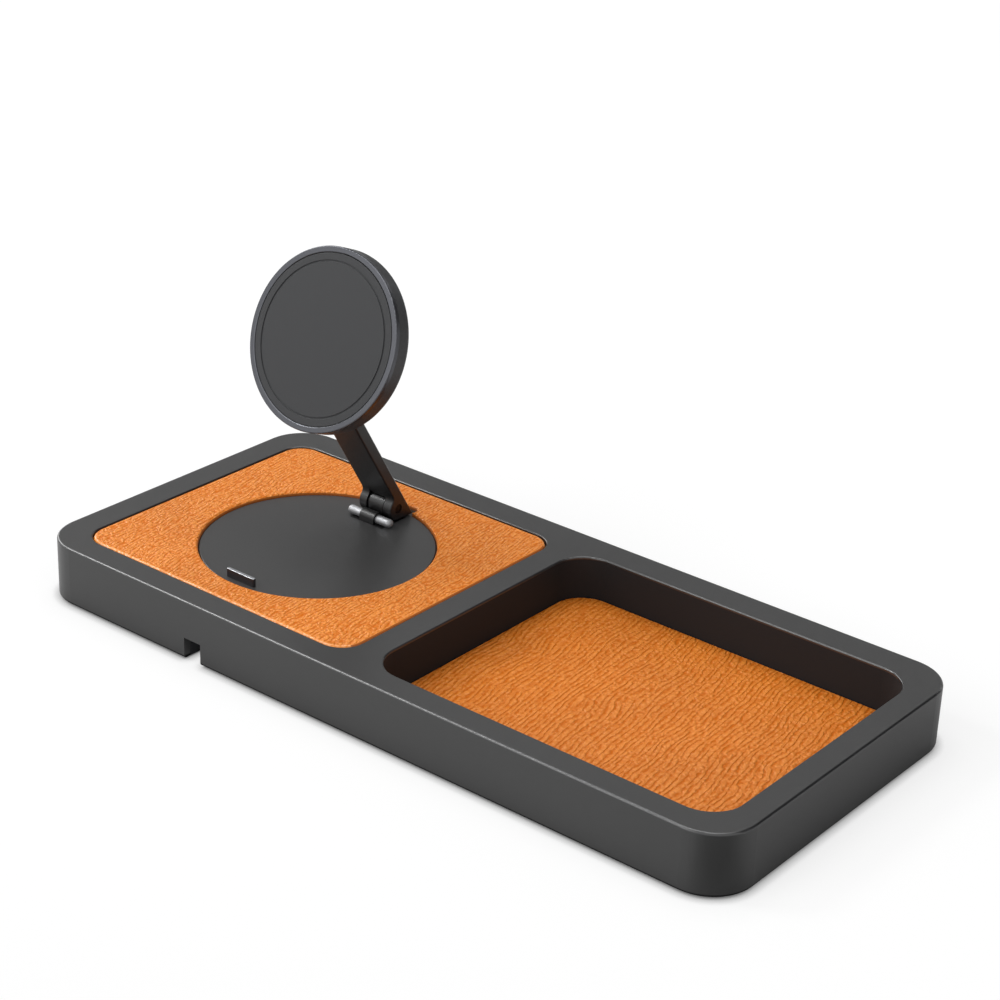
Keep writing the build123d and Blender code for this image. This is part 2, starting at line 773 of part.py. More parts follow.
# Bottom cover with the cable channel, the plug bay and posts for the control board
bay_front = front_side + channel_length
bay_back = front_side + bay_end
board_front = bay_back + channel_wall + board_gap
board_bottom = cover_top + socket_above_cover + socket_height
board_screw_places = [
    (
        notch_x + side * (board_width / 2 - board_screw_inset),
        board_front + place,
    )
    for side in (-1, 1)
    for place in (board_screw_inset, board_length - board_screw_inset)
]
socket_z = cover_top + socket_above_cover + socket_height / 2
with BuildPart() as bottom_cover:
    with BuildSketch(Plane.XY.offset(tray_bottom)):
        RectangleRounded(
            tray_length - 2 * outer_wall - 2 * cover_gap,
            tray_width - 2 * outer_wall - 2 * cover_gap,
            corner_radius - outer_wall - cover_gap,
        )
    extrude(amount=cover_thickness)
    with BuildSketch(Plane.XY.offset(cover_top)):
        with Locations((notch_x, inner_front + cover_gap)):
            Rectangle(
                notch_width + 2 * channel_wall,
                bay_front - inner_front - cover_gap,
                align=(Align.CENTER, Align.MIN),
            )
        with Locations((notch_x, bay_front - channel_wall)):
            Rectangle(
                bay_width + 2 * channel_wall,
                bay_back - bay_front + 2 * channel_wall,
                align=(Align.CENTER, Align.MIN),
            )
    extrude(amount=notch_roof + channel_wall - cover_top)
    with BuildSketch(Plane.XY.offset(tray_bottom)):
        with Locations((notch_x, inner_front)):
            Rectangle(
                notch_width, bay_front - inner_front + channel_wall, align=(Align.CENTER, Align.MIN)
            )
        with Locations((notch_x, bay_front)):
            Rectangle(bay_width, bay_back - bay_front, align=(Align.CENTER, Align.MIN))
    extrude(amount=notch_height, mode=Mode.SUBTRACT)
    with BuildSketch(Plane.XZ.offset(-bay_back)):
        with Locations((notch_x, socket_z)):
            RectangleRounded(
                socket_width + 2 * socket_window_gap,
                socket_height + 2 * socket_window_gap,
                socket_radius,
            )
    extrude(amount=-channel_wall, mode=Mode.SUBTRACT)
    with BuildSketch(Plane.XY.offset(cover_top)):
        with Locations(*board_screw_places):
            Circle(post_radius)
    extrude(amount=board_bottom - cover_top)
    with BuildSketch(Plane.XY.offset(cover_top)):
        with Locations(*board_screw_places):
            Circle(small_shank_radius)
    extrude(amount=board_bottom - cover_top, mode=Mode.SUBTRACT)
    with BuildSketch(Plane.XY.offset(tray_bottom)):
        with Locations(*foot_places):
            Circle(foot_radius + cover_gap)
    extrude(amount=foot_sink, mode=Mode.SUBTRACT)
    with BuildSketch(Plane.XY.offset(tray_bottom)):
        with Locations(*cover_screw_places):
            Circle(screw_shank_radius + screw_hole_gap)
    extrude(amount=cover_thickness, mode=Mode.SUBTRACT)
    with BuildSketch(Plane.XY.offset(tray_bottom)):
        with Locations(*cover_screw_places):
            Circle(screw_head_radius + screw_hole_gap)
    extrude(amount=cover_thickness / 2, mode=Mode.SUBTRACT)
finish(bottom_cover.part, "bottom_cover")

cover_head_height = cover_thickness / 2 - screw_hole_gap
with BuildPart() as cover_screws:
    with BuildSketch(Plane.XY.offset(tray_bottom + screw_hole_gap)):
        with Locations(*cover_screw_places):
            Circle(screw_head_radius)
    extrude(amount=cover_head_height)
    with BuildSketch(Plane.XY.offset(tray_bottom + cover_thickness / 2)):
        with Locations(*cover_screw_places):
            Circle(screw_shank_radius)
    extrude(amount=cover_thickness / 2 + screw_bite - screw_slot_depth)
    with BuildSketch(Plane.XY.offset(tray_bottom + screw_hole_gap)):
        with Locations(*cover_screw_places):
            RegularPolygon(screw_slot_radius, 6)
    extrude(amount=screw_slot_depth, mode=Mode.SUBTRACT)
finish(cover_screws.part, "cover_screws")

with BuildPart() as rubber_feet:
    with BuildSketch():
        with Locations(*foot_places):
            Circle(foot_radius)
    extrude(amount=foot_proud + foot_sink)
    fillet(rubber_feet.edges().group_by(Axis.Z)[0], foot_edge_round)
finish(rubber_feet.part, "rubber_feet")

# Control board, its parts, its screws and the socket at its front edge
with BuildPart() as control_board:
    with BuildSketch(Plane.XY.offset(board_bottom)):
        with Locations((notch_x, board_front + board_length / 2)):
            RectangleRounded(board_width, board_length, board_corner_radius)
        with Locations(*board_screw_places):
            Circle(small_shank_radius + screw_hole_gap, mode=Mode.SUBTRACT)
    extrude(amount=board_thickness)
finish(control_board.part, "control_board")

board_top = board_bottom + board_thickness
with BuildPart() as board_components:
    with BuildSketch(Plane.XY.offset(board_top)):
        with Locations(
            (notch_x - inductor_size, board_front + board_length / 3),
            (notch_x + inductor_size, board_front + board_length / 3),
        ):
            RectangleRounded(inductor_size, inductor_size, board_corner_radius)
    extrude(amount=inductor_height)
    with BuildSketch(Plane.XY.offset(board_top)):
        with Locations(
            (notch_x, board_front + board_length * 2 / 3),
            (notch_x, board_front + board_screw_inset),
        ):
            Rectangle(chip_size, chip_size)
    extrude(amount=chip_height)
    with BuildSketch(Plane.XY.offset(board_top)):
        with Locations(
            (notch_x - 2 * chip_size, board_front + board_length * 2 / 3),
            (notch_x + 2 * chip_size, board_front + board_length * 2 / 3),
        ):
            Circle(capacitor_radius)
    extrude(amount=capacitor_height)
finish(board_components.part, "board_components")

with BuildPart() as board_screws:
    with BuildSketch(Plane.XY.offset(board_top)):
        with Locations(*board_screw_places):
            Circle(small_head_radius)
    extrude(amount=small_head_height)
    with BuildSketch(Plane.XY.offset(board_top)):
        with Locations(*board_screw_places):
            Circle(small_shank_radius)
    extrude(amount=-small_bite)
    with BuildSketch(Plane.XY.offset(board_top + small_head_height)):
        with Locations(*board_screw_places):
            RegularPolygon(small_shank_radius, 6)
    extrude(amount=-small_head_height / 2, mode=Mode.SUBTRACT)
finish(board_screws.part, "board_screws")

socket_mouth = board_front - board_gap - socket_out
with BuildPart() as usb_socket:
    with BuildSketch(Plane.XZ.offset(-socket_mouth)):
        with Locations((notch_x, socket_z)):
            RectangleRounded(socket_width, socket_height, socket_radius)
    extrude(amount=-socket_depth)
    with BuildSketch(Plane.XZ.offset(-socket_mouth)):
        with Locations((notch_x, socket_z)):
            RectangleRounded(
                socket_width - 2 * socket_wall,
                socket_height - 2 * socket_wall,
                socket_radius - socket_wall,
            )
    extrude(amount=socket_wall - socket_depth, mode=Mode.SUBTRACT)
finish(usb_socket.part, "usb_socket")

with BuildPart() as socket_tongue:
    with BuildSketch(Plane.XZ.offset(-socket_mouth - tongue_setback)):
        with Locations((notch_x, socket_z)):
            Rectangle(tongue_width, tongue_thickness)
    extrude(amount=socket_wall + tongue_setback - socket_depth)
finish(socket_tongue.part, "socket_tongue")
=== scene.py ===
import json
import math

import bpy
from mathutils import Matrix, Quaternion, Vector

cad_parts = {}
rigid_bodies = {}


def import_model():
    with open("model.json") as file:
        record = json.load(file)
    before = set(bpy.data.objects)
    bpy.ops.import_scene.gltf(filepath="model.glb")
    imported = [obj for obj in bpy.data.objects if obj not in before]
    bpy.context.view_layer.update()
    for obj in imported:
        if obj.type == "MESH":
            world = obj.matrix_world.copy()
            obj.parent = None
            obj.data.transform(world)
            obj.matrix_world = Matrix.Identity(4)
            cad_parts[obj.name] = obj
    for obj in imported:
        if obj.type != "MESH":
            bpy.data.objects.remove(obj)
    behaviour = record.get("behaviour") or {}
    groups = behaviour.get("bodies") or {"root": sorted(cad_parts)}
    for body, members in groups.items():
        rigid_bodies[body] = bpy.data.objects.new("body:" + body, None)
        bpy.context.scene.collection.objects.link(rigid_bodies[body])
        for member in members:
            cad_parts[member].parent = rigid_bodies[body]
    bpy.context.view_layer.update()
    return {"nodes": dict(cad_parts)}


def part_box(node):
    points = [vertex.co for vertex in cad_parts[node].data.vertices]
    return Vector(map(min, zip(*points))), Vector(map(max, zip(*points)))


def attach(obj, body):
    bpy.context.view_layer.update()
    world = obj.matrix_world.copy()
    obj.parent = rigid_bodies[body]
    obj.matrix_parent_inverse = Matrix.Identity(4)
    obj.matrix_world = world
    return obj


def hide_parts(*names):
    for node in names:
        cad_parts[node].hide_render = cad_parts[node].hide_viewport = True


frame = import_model()
nodes = frame["nodes"]
# the ring lies round the stand's middle
standCentre = (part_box("clamp_ring")[0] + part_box("clamp_ring")[1]) / 2
print("frame loaded:", len(nodes), "nodes")

perMetre = 1000        # millimetres in a metre
smoothAngle = 32.0     # degrees: a corner sharper than this keeps its edge
slack = 0.00002        # metres: places closer than this count as the same

# what Blender starts with goes, the CAD stays
for thing in list(bpy.data.objects):
    if thing.name in ("Cube", "Light", "Camera"):
        bpy.data.objects.remove(thing)


def srgb(hexColour):
    # a colour as the screen shows it, turned to linear light
    channels = [int(hexColour[i:i + 2], 16) / 255 for i in (1, 3, 5)]
    linear = [c / 12.92 if c <= 0.04045 else ((c + 0.055) / 1.055) ** 2.4 for c in channels]
    return (*linear, 1.0)


def addNode(tree, kind, settings=None, inputs=None):
    # adds a node with its settings, and gives each named input a value or a link
    node = tree.nodes.new(kind)
    for key, value in (settings or {}).items():
        setattr(node, key, value)
    for key, value in (inputs or {}).items():
        if isinstance(value, bpy.types.NodeSocket):
            tree.links.new(value, node.inputs[key])
        else:
            node.inputs[key].default_value = value
    return node


def startMaterial(name):
    material = bpy.data.materials.new(name)
    material.use_nodes = True
    material.node_tree.nodes.clear()
    return material, material.node_tree


def clearSelection():
    if bpy.context.mode != "OBJECT":
        bpy.ops.object.mode_set(mode="OBJECT")
    bpy.ops.object.select_all(action="DESELECT")


def pickOnly(piece):
    clearSelection()
    piece.select_set(True)
    bpy.context.view_layer.objects.active = piece


def applyModifier(piece, kind, **settings):
    bpy.ops.object.modifier_add(type=kind)
    modifier = piece.modifiers[-1]
    for key, value in settings.items():
        setattr(modifier, key, value)
    bpy.ops.object.modifier_apply(modifier=modifier.name)


def pickEdges(piece, wanted):
    # picks the edges whose two ends pass the test together, and goes into edit mode
    bpy.ops.object.mode_set(mode="EDIT")
    bpy.ops.mesh.select_mode(type="EDGE")
    bpy.ops.mesh.select_all(action="DESELECT")
    bpy.ops.object.mode_set(mode="OBJECT")
    points = piece.data.vertices
    for edge in piece.data.edges:
        first, second = (points[i].co for i in edge.vertices)
        edge.select = wanted(first, second)
    bpy.ops.object.mode_set(mode="EDIT")


def roundPicked(radius, steps):
    # rounds the picked edges, and leaves edit mode
    bpy.ops.mesh.bevel(offset=radius, segments=steps, profile=0.5)
    bpy.ops.object.mode_set(mode="OBJECT")


def smoothPiece(piece):
    bpy.ops.object.shade_smooth_by_angle(angle=math.radians(smoothAngle))
    applyModifier(piece, "WEIGHTED_NORMAL", keep_sharp=True)


# the finishes come first, each with its values beside it

mouldedLook = {
    "cloudScale": 14.0,             # the tone drifts in patches, so many to the metre
    "gritBand": (0.3, 0.7),         # the part of the grit's range that changes the gloss
    "glossSpread": (-0.03, 0.04),   # added to the roughness
    "reliefMm": 0.05,
    "reliefShare": 0.15,
}


def mouldedStock(name, colour, darker, roughness, gritMm):
    # moulded, pressed or sintered stock: even, satin to dull, with a faint fine grit
    look = mouldedLook
    material, tree = startMaterial(name)
    place = addNode(tree, "ShaderNodeTexCoord").outputs["Object"]
    cloud = addNode(tree, "ShaderNodeTexNoise", inputs={
        "Vector": place, "Scale": look["cloudScale"], "Detail": 3.0})
    grit = addNode(tree, "ShaderNodeTexNoise", inputs={
        "Vector": place, "Scale": perMetre / gritMm, "Detail": 2.0})
    tone = addNode(tree, "ShaderNodeMix", {"data_type": "RGBA"}, {
        "Factor": cloud.outputs["Fac"], "A": srgb(colour), "B": srgb(darker)})
    rough = addNode(tree, "ShaderNodeMapRange", inputs={
        "Value": grit.outputs["Fac"],
        "From Min": look["gritBand"][0], "From Max": look["gritBand"][1],
        "To Min": roughness + look["glossSpread"][0], "To Max": roughness + look["glossSpread"][1]})
    bump = addNode(tree, "ShaderNodeBump", inputs={
        "Height": grit.outputs["Fac"], "Strength": look["reliefShare"],
        "Distance": look["reliefMm"] / perMetre})
    shader = addNode(tree, "ShaderNodeBsdfPrincipled", inputs={
        "Base Color": tone.outputs["Result"], "Roughness": rough.outputs["Result"],
        "IOR": 1.5, "Normal": bump.outputs["Normal"]})
    addNode(tree, "ShaderNodeOutputMaterial", inputs={"Surface": shader.outputs["BSDF"]})
    return material


trayAbsLook = {
    "colour": "#3d3d3d",
    "roughness": 0.34,
    "shine": 0.5,
    "cloudScale": 18.0,            # the tone drifts in patches, so many to the metre
    "cloudTone": (0.9, 1.1),       # between these shares of the colour
    "gritMm": 0.35,
    "reliefMm": 0.05,
    "reliefShare": 0.15,           # on the flats; the rounded edge has none
    "wellShadeColour": "#191a1c",       # the well's walls are painted darker as shade in the recess, and are duller
    "wellRoughness": 0.7,
    "wellShine": 0.3,
    "wellAround": 0.0008,          # their texture starts this far outside the lining,
    "wellUnder": 0.003,            # reaches this far below it
    "wellBelowRim": 0.0007,        # and stops under the rounded edge of the rim
    "wellBlend": 0.0002,
    "edgeColour": "#1d1d1e",       # the rim's rounded edge was polished and is glossier; its darker colour is painted shade
    "edgeRoughness": 0.32,
    "edgeShine": 0.95,
    "edgeRound": 0.0008,
    "lowShadeBand": (0.0012, 0.0017),   # under these heights the lower edge takes the same dark colour as painted contact shade, and has no shine
}


def trayAbs(name, look, rimTop):
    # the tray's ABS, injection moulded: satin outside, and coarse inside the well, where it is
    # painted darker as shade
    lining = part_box("well_leather")
    around = look["wellAround"]
    wellLow = lining[0] - Vector((around, around, look["wellUnder"]))
    wellHigh = lining[1] + Vector((around, around, 0))
    wellHigh.z = rimTop - look["wellBelowRim"]
    middle, half = (wellLow + wellHigh) / 2, (wellHigh - wellLow) / 2

    material, tree = startMaterial(name)
    place = addNode(tree, "ShaderNodeTexCoord").outputs["Object"]
    offset = addNode(tree, "ShaderNodeVectorMath", {"operation": "SUBTRACT"}, {0: place, 1: middle})
    spread = addNode(tree, "ShaderNodeVectorMath", {"operation": "ABSOLUTE"}, {
        0: offset.outputs["Vector"]})
    beyond = addNode(tree, "ShaderNodeVectorMath", {"operation": "SUBTRACT"}, {
        0: spread.outputs["Vector"], 1: half})
    axes = addNode(tree, "ShaderNodeSeparateXYZ", inputs={"Vector": beyond.outputs["Vector"]})
    sides = addNode(tree, "ShaderNodeMath", {"operation": "MAXIMUM"}, {
        0: axes.outputs["X"], 1: axes.outputs["Y"]})
    worst = addNode(tree, "ShaderNodeMath", {"operation": "MAXIMUM"}, {
        0: sides.outputs["Value"], 1: axes.outputs["Z"]})
    inside = addNode(tree, "ShaderNodeMapRange", inputs={
        "Value": worst.outputs["Value"], "From Min": -look["wellBlend"],
        "From Max": look["wellBlend"], "To Min": 1.0, "To Max": 0.0})

    cloud = addNode(tree, "ShaderNodeTexNoise", inputs={
        "Vector": place, "Scale": look["cloudScale"], "Detail": 3.0})
    grit = addNode(tree, "ShaderNodeTexNoise", inputs={
        "Vector": place, "Scale": perMetre / look["gritMm"], "Detail": 2.0})
    shade = addNode(tree, "ShaderNodeMapRange", inputs={
        "Value": cloud.outputs["Fac"],
        "To Min": look["cloudTone"][0], "To Max": look["cloudTone"][1]})
    # painted shade: the well's walls take a darker colour than the outside
    tone = addNode(tree, "ShaderNodeMix", {"data_type": "RGBA"}, {
        "Factor": inside.outputs["Result"], "A": srgb(look["colour"]),
        "B": srgb(look["wellShadeColour"])})

    # the two rounded edges are told apart by their height
    height = addNode(tree, "ShaderNodeSeparateXYZ", inputs={"Vector": place})
    halfEdge = look["edgeRound"] / 2
    onEdge = addNode(tree, "ShaderNodeMath", {"operation": "COMPARE"}, {
        0: height.outputs["Z"], 1: rimTop - halfEdge, 2: halfEdge - slack})
    # painted shade: the rounded top edge and the lower edge take the dark edge colour
    edged = addNode(tree, "ShaderNodeMix", {"data_type": "RGBA"}, {
        "Factor": onEdge.outputs["Value"], "A": tone.outputs["Result"],
        "B": srgb(look["edgeColour"])})
    overLow = addNode(tree, "ShaderNodeMapRange", inputs={
        "Value": height.outputs["Z"],
        "From Min": look["lowShadeBand"][0], "From Max": look["lowShadeBand"][1]})
    lowEdgeShaded = addNode(tree, "ShaderNodeMix", {"data_type": "RGBA"}, {
        "Factor": overLow.outputs["Result"], "A": srgb(look["edgeColour"]),
        "B": edged.outputs["Result"]})
    toned = addNode(tree, "ShaderNodeVectorMath", {"operation": "SCALE"}, {
        0: lowEdgeShaded.outputs["Result"], "Scale": shade.outputs["Result"]})

    flatRough = addNode(tree, "ShaderNodeMapRange", inputs={
        "Value": inside.outputs["Result"],
        "To Min": look["roughness"], "To Max": look["wellRoughness"]})
    flatShine = addNode(tree, "ShaderNodeMapRange", inputs={
        "Value": inside.outputs["Result"],
        "To Min": look["shine"], "To Max": look["wellShine"]})
    rough = addNode(tree, "ShaderNodeMix", {"data_type": "FLOAT"}, {
        "Factor": onEdge.outputs["Value"], "A": flatRough.outputs["Result"],
        "B": look["edgeRoughness"]})
    edgedShine = addNode(tree, "ShaderNodeMix", {"data_type": "FLOAT"}, {
        "Factor": onEdge.outputs["Value"], "A": flatShine.outputs["Result"],
        "B": look["edgeShine"]})
    shine = addNode(tree, "ShaderNodeMath", {"operation": "MULTIPLY"}, {
        0: edgedShine.outputs["Result"], 1: overLow.outputs["Result"]})
    gritDepth = addNode(tree, "ShaderNodeMapRange", inputs={
        "Value": onEdge.outputs["Value"], "To Min": look["reliefShare"], "To Max": 0.0})
    bump = addNode(tree, "ShaderNodeBump", inputs={
        "Height": grit.outputs["Fac"], "Strength": gritDepth.outputs["Result"],
        "Distance": look["reliefMm"] / perMetre})
    shader = addNode(tree, "ShaderNodeBsdfPrincipled", inputs={
        "Base Color": toned.outputs["Vector"], "Roughness": rough.outputs["Result"],
        "IOR": 1.5, "Specular IOR Level": shine.outputs["Value"],
        "Normal": bump.outputs["Normal"]})
    addNode(tree, "ShaderNodeOutputMaterial", inputs={"Surface": shader.outputs["BSDF"]})
    return material


stopLook = {
    "colour": "#252528",
    "edgeColour": "#b4b6ba",
    "roughness": 0.36,
    "glossSpread": (-0.03, 0.04),   # added to the roughness
    "millDepth": 0.00009,           # how far the milled top reaches down
    "millBlend": 0.00003,
    "markScale": (40, 3000, 40),    # the mill's marks run along the stop, so many to the metre
}


def stopAluminium(name, look, edgeHeight):
    # anodised black, with the top milled afterwards: a thin line of bare bright metal
    material, tree = startMaterial(name)
    place = addNode(tree, "ShaderNodeTexCoord").outputs["Object"]
    axes = addNode(tree, "ShaderNodeSeparateXYZ", inputs={"Vector": place})
    bare = addNode(tree, "ShaderNodeMapRange", inputs={
        "Value": axes.outputs["Z"], "From Min": edgeHeight - look["millBlend"],
        "From Max": edgeHeight + look["millBlend"]})
    mill = addNode(tree, "ShaderNodeMapping", inputs={
        "Vector": place, "Scale": look["markScale"]})
    marks = addNode(tree, "ShaderNodeTexNoise", inputs={
        "Vector": mill.outputs["Vector"], "Scale": 1.0, "Detail": 2.0})
    rough = addNode(tree, "ShaderNodeMapRange", inputs={
        "Value": marks.outputs["Fac"],
        "To Min": look["roughness"] + look["glossSpread"][0],
        "To Max": look["roughness"] + look["glossSpread"][1]})
    tone = addNode(tree, "ShaderNodeMix", {"data_type": "RGBA"}, {
        "Factor": bare.outputs["Result"], "A": srgb(look["colour"]),
        "B": srgb(look["edgeColour"])})
    shader = addNode(tree, "ShaderNodeBsdfPrincipled", inputs={
        "Base Color": tone.outputs["Result"], "Metallic": bare.outputs["Result"],
        "Roughness": rough.outputs["Result"]})
    addNode(tree, "ShaderNodeOutputMaterial", inputs={"Surface": shader.outputs["BSDF"]})
    return material


coatLook = {
    "peelScale": 1400.0,   # the orange peel's bumps, so many to the metre
    "glossSpread": 0.05,   # either way from the roughness
    "reliefMm": 0.08,
    "reliefShare": 0.25,
}


def powderCoat(name, colour, roughness):
    # powder coat baked on die-cast aluminium: a low sheen over a slight orange peel
    look = coatLook
    material, tree = startMaterial(name)
    place = addNode(tree, "ShaderNodeTexCoord").outputs["Object"]
    peel = addNode(tree, "ShaderNodeTexNoise", inputs={
        "Vector": place, "Scale": look["peelScale"], "Detail": 1.0})
    bump = addNode(tree, "ShaderNodeBump", inputs={
        "Height": peel.outputs["Fac"], "Strength": look["reliefShare"],
        "Distance": look["reliefMm"] / perMetre})
    rough = addNode(tree, "ShaderNodeMapRange", inputs={
        "Value": peel.outputs["Fac"], "To Min": roughness - look["glossSpread"],
        "To Max": roughness + look["glossSpread"]})
    shader = addNode(tree, "ShaderNodeBsdfPrincipled", inputs={
        "Base Color": srgb(colour), "Roughness": rough.outputs["Result"],
        "IOR": 1.5, "Normal": bump.outputs["Normal"]})
    addNode(tree, "ShaderNodeOutputMaterial", inputs={"Surface": shader.outputs["BSDF"]})
    return material


toolLook = {
    "runMm": 50.0,                 # the tool's lines are this long
    "glossSpread": (-0.08, 0.1),   # added to the roughness
    "reliefMm": 0.04,
    "reliefShare": 0.15,
}


def turnedMetal(name, colour, roughness, lineMm, axis):
    # turned, drawn or ground metal: fine lines lie across the axis and stretch its highlights
    look = toolLook
    material, tree = startMaterial(name)
    place = addNode(tree, "ShaderNodeTexCoord").outputs["Object"]
    stretch = [perMetre / look["runMm"]] * 3
    stretch[axis] = perMetre / lineMm
    lines = addNode(tree, "ShaderNodeMapping", inputs={"Vector": place, "Scale": stretch})
    tool = addNode(tree, "ShaderNodeTexNoise", inputs={
        "Vector": lines.outputs["Vector"], "Scale": 1.0, "Detail": 3.0})
    rough = addNode(tree, "ShaderNodeMapRange", inputs={
        "Value": tool.outputs["Fac"],
        "To Min": roughness + look["glossSpread"][0], "To Max": roughness + look["glossSpread"][1]})
    bump = addNode(tree, "ShaderNodeBump", inputs={
        "Height": tool.outputs["Fac"], "Strength": look["reliefShare"],
        "Distance": look["reliefMm"] / perMetre})
    shader = addNode(tree, "ShaderNodeBsdfPrincipled", inputs={
        "Base Color": srgb(colour), "Metallic": 1.0, "Roughness": rough.outputs["Result"],
        "Normal": bump.outputs["Normal"]})
    addNode(tree, "ShaderNodeOutputMaterial", inputs={"Surface": shader.outputs["BSDF"]})
    return material


rubberLook = {
    "gritScale": 2200.0,   # grains to the metre
    "dust": 0.15,
    "dustRoughness": 0.5,
    "reliefMm": 0.05,
    "reliefShare": 0.2,
}


def softRubber(name, colour, roughness):
    # moulded silicone or rubber: dull, and a little dusty at grazing angles
    look = rubberLook
    material, tree = startMaterial(name)
    place = addNode(tree, "ShaderNodeTexCoord").outputs["Object"]
    grit = addNode(tree, "ShaderNodeTexNoise", inputs={
        "Vector": place, "Scale": look["gritScale"], "Detail": 2.0})
    bump = addNode(tree, "ShaderNodeBump", inputs={
        "Height": grit.outputs["Fac"], "Strength": look["reliefShare"],
        "Distance": look["reliefMm"] / perMetre})
    shader = addNode(tree, "ShaderNodeBsdfPrincipled", inputs={
        "Base Color": srgb(colour), "Roughness": roughness, "IOR": 1.43,
        "Sheen Weight": look["dust"], "Sheen Roughness": look["dustRoughness"],
        "Normal": bump.outputs["Normal"]})
    addNode(tree, "ShaderNodeOutputMaterial", inputs={"Surface": shader.outputs["BSDF"]})
    return material


tanLeatherLook = {
    "crown": "#ee8c28",          # the raised grain is lighter: partly dye, partly painted highlight
    "hollow": "#c96407",         # darker in the creases: partly dye, partly painted shade
    "grainTurn": 8.0,            # degrees from the tray's depth, the way the creases run
    "creaseMm": 1.7,             # from one crease to the next
    "creaseRise": (-1.1, 0.2),   # the part of each wave that climbs to its flat top
    "swayMm": 30.0,              # the creases sway together over this distance
    "swayTurns": 4.5,            # by up to this many creases
    "forkMm": (3.0, 11.0),       # across and along: where neighbours drift apart they fork and join
    "forkTurns": 1.8,
    "rippleMm": 1.4,             # each crease wanders a little over this distance
    "rippleTurns": 0.6,
    "fadeMm": (3.0, 7.0),        # across and along: creases fade into pebbles over this distance
    "fadeFrom": (31, 7, 0),      # where in the pattern the fading is read
    "fadeBand": (0.35, 0.65),
    "pebbleMm": 1.2,
    "pebbleLong": 0.65,          # the pebbles are stretched along the creases
    "pebbleRise": (0.8, 0.05),   # from a pebble's rim up to its top
    "pebbleSoft": 0.3,
    "pebbleShare": (0.35, 0.7),
    "jitterMm": 1.6,             # the pebbles are shifted by up to this
    "jitterScale": 0.45,         # in patches, so many to the millimetre
    "fineMm": 0.625,             # wrinkles too fine to change the colour
    "fineShare": 0.4,
    "patchMm": 25.0,             # the hide took the dye a little unevenly over this distance
    "patchBand": (0.3, 0.7),
    "patchTone": (0.94, 1.05),
    "reliefMm": 0.4,
    "roughness": 0.46,
    "hollowDuller": 0.1,         # the creases are rougher by this
    "shine": 0.65,
    "shineBand": (0.25, 1.25),   # and shine less than the raised grain
}
# the pad's hide is stretched over its board: lighter, with a closer and shallower grain
padHideLook = {**tanLeatherLook, "crown": "#f89a38", "hollow": "#d06806", "creaseMm": 1.3,
               "pebbleMm": 0.95, "swayTurns": 6.5, "pebbleShare": (0.5, 0.85), "shine": 0.55}
# and nearly smooth, with a burnished shine, where it is turned over the board's edge
rolledHideLook = {**padHideLook, "hollow": "#e5821f", "reliefMm": 0.05, "roughness": 0.26,
                  "shine": 0.95}


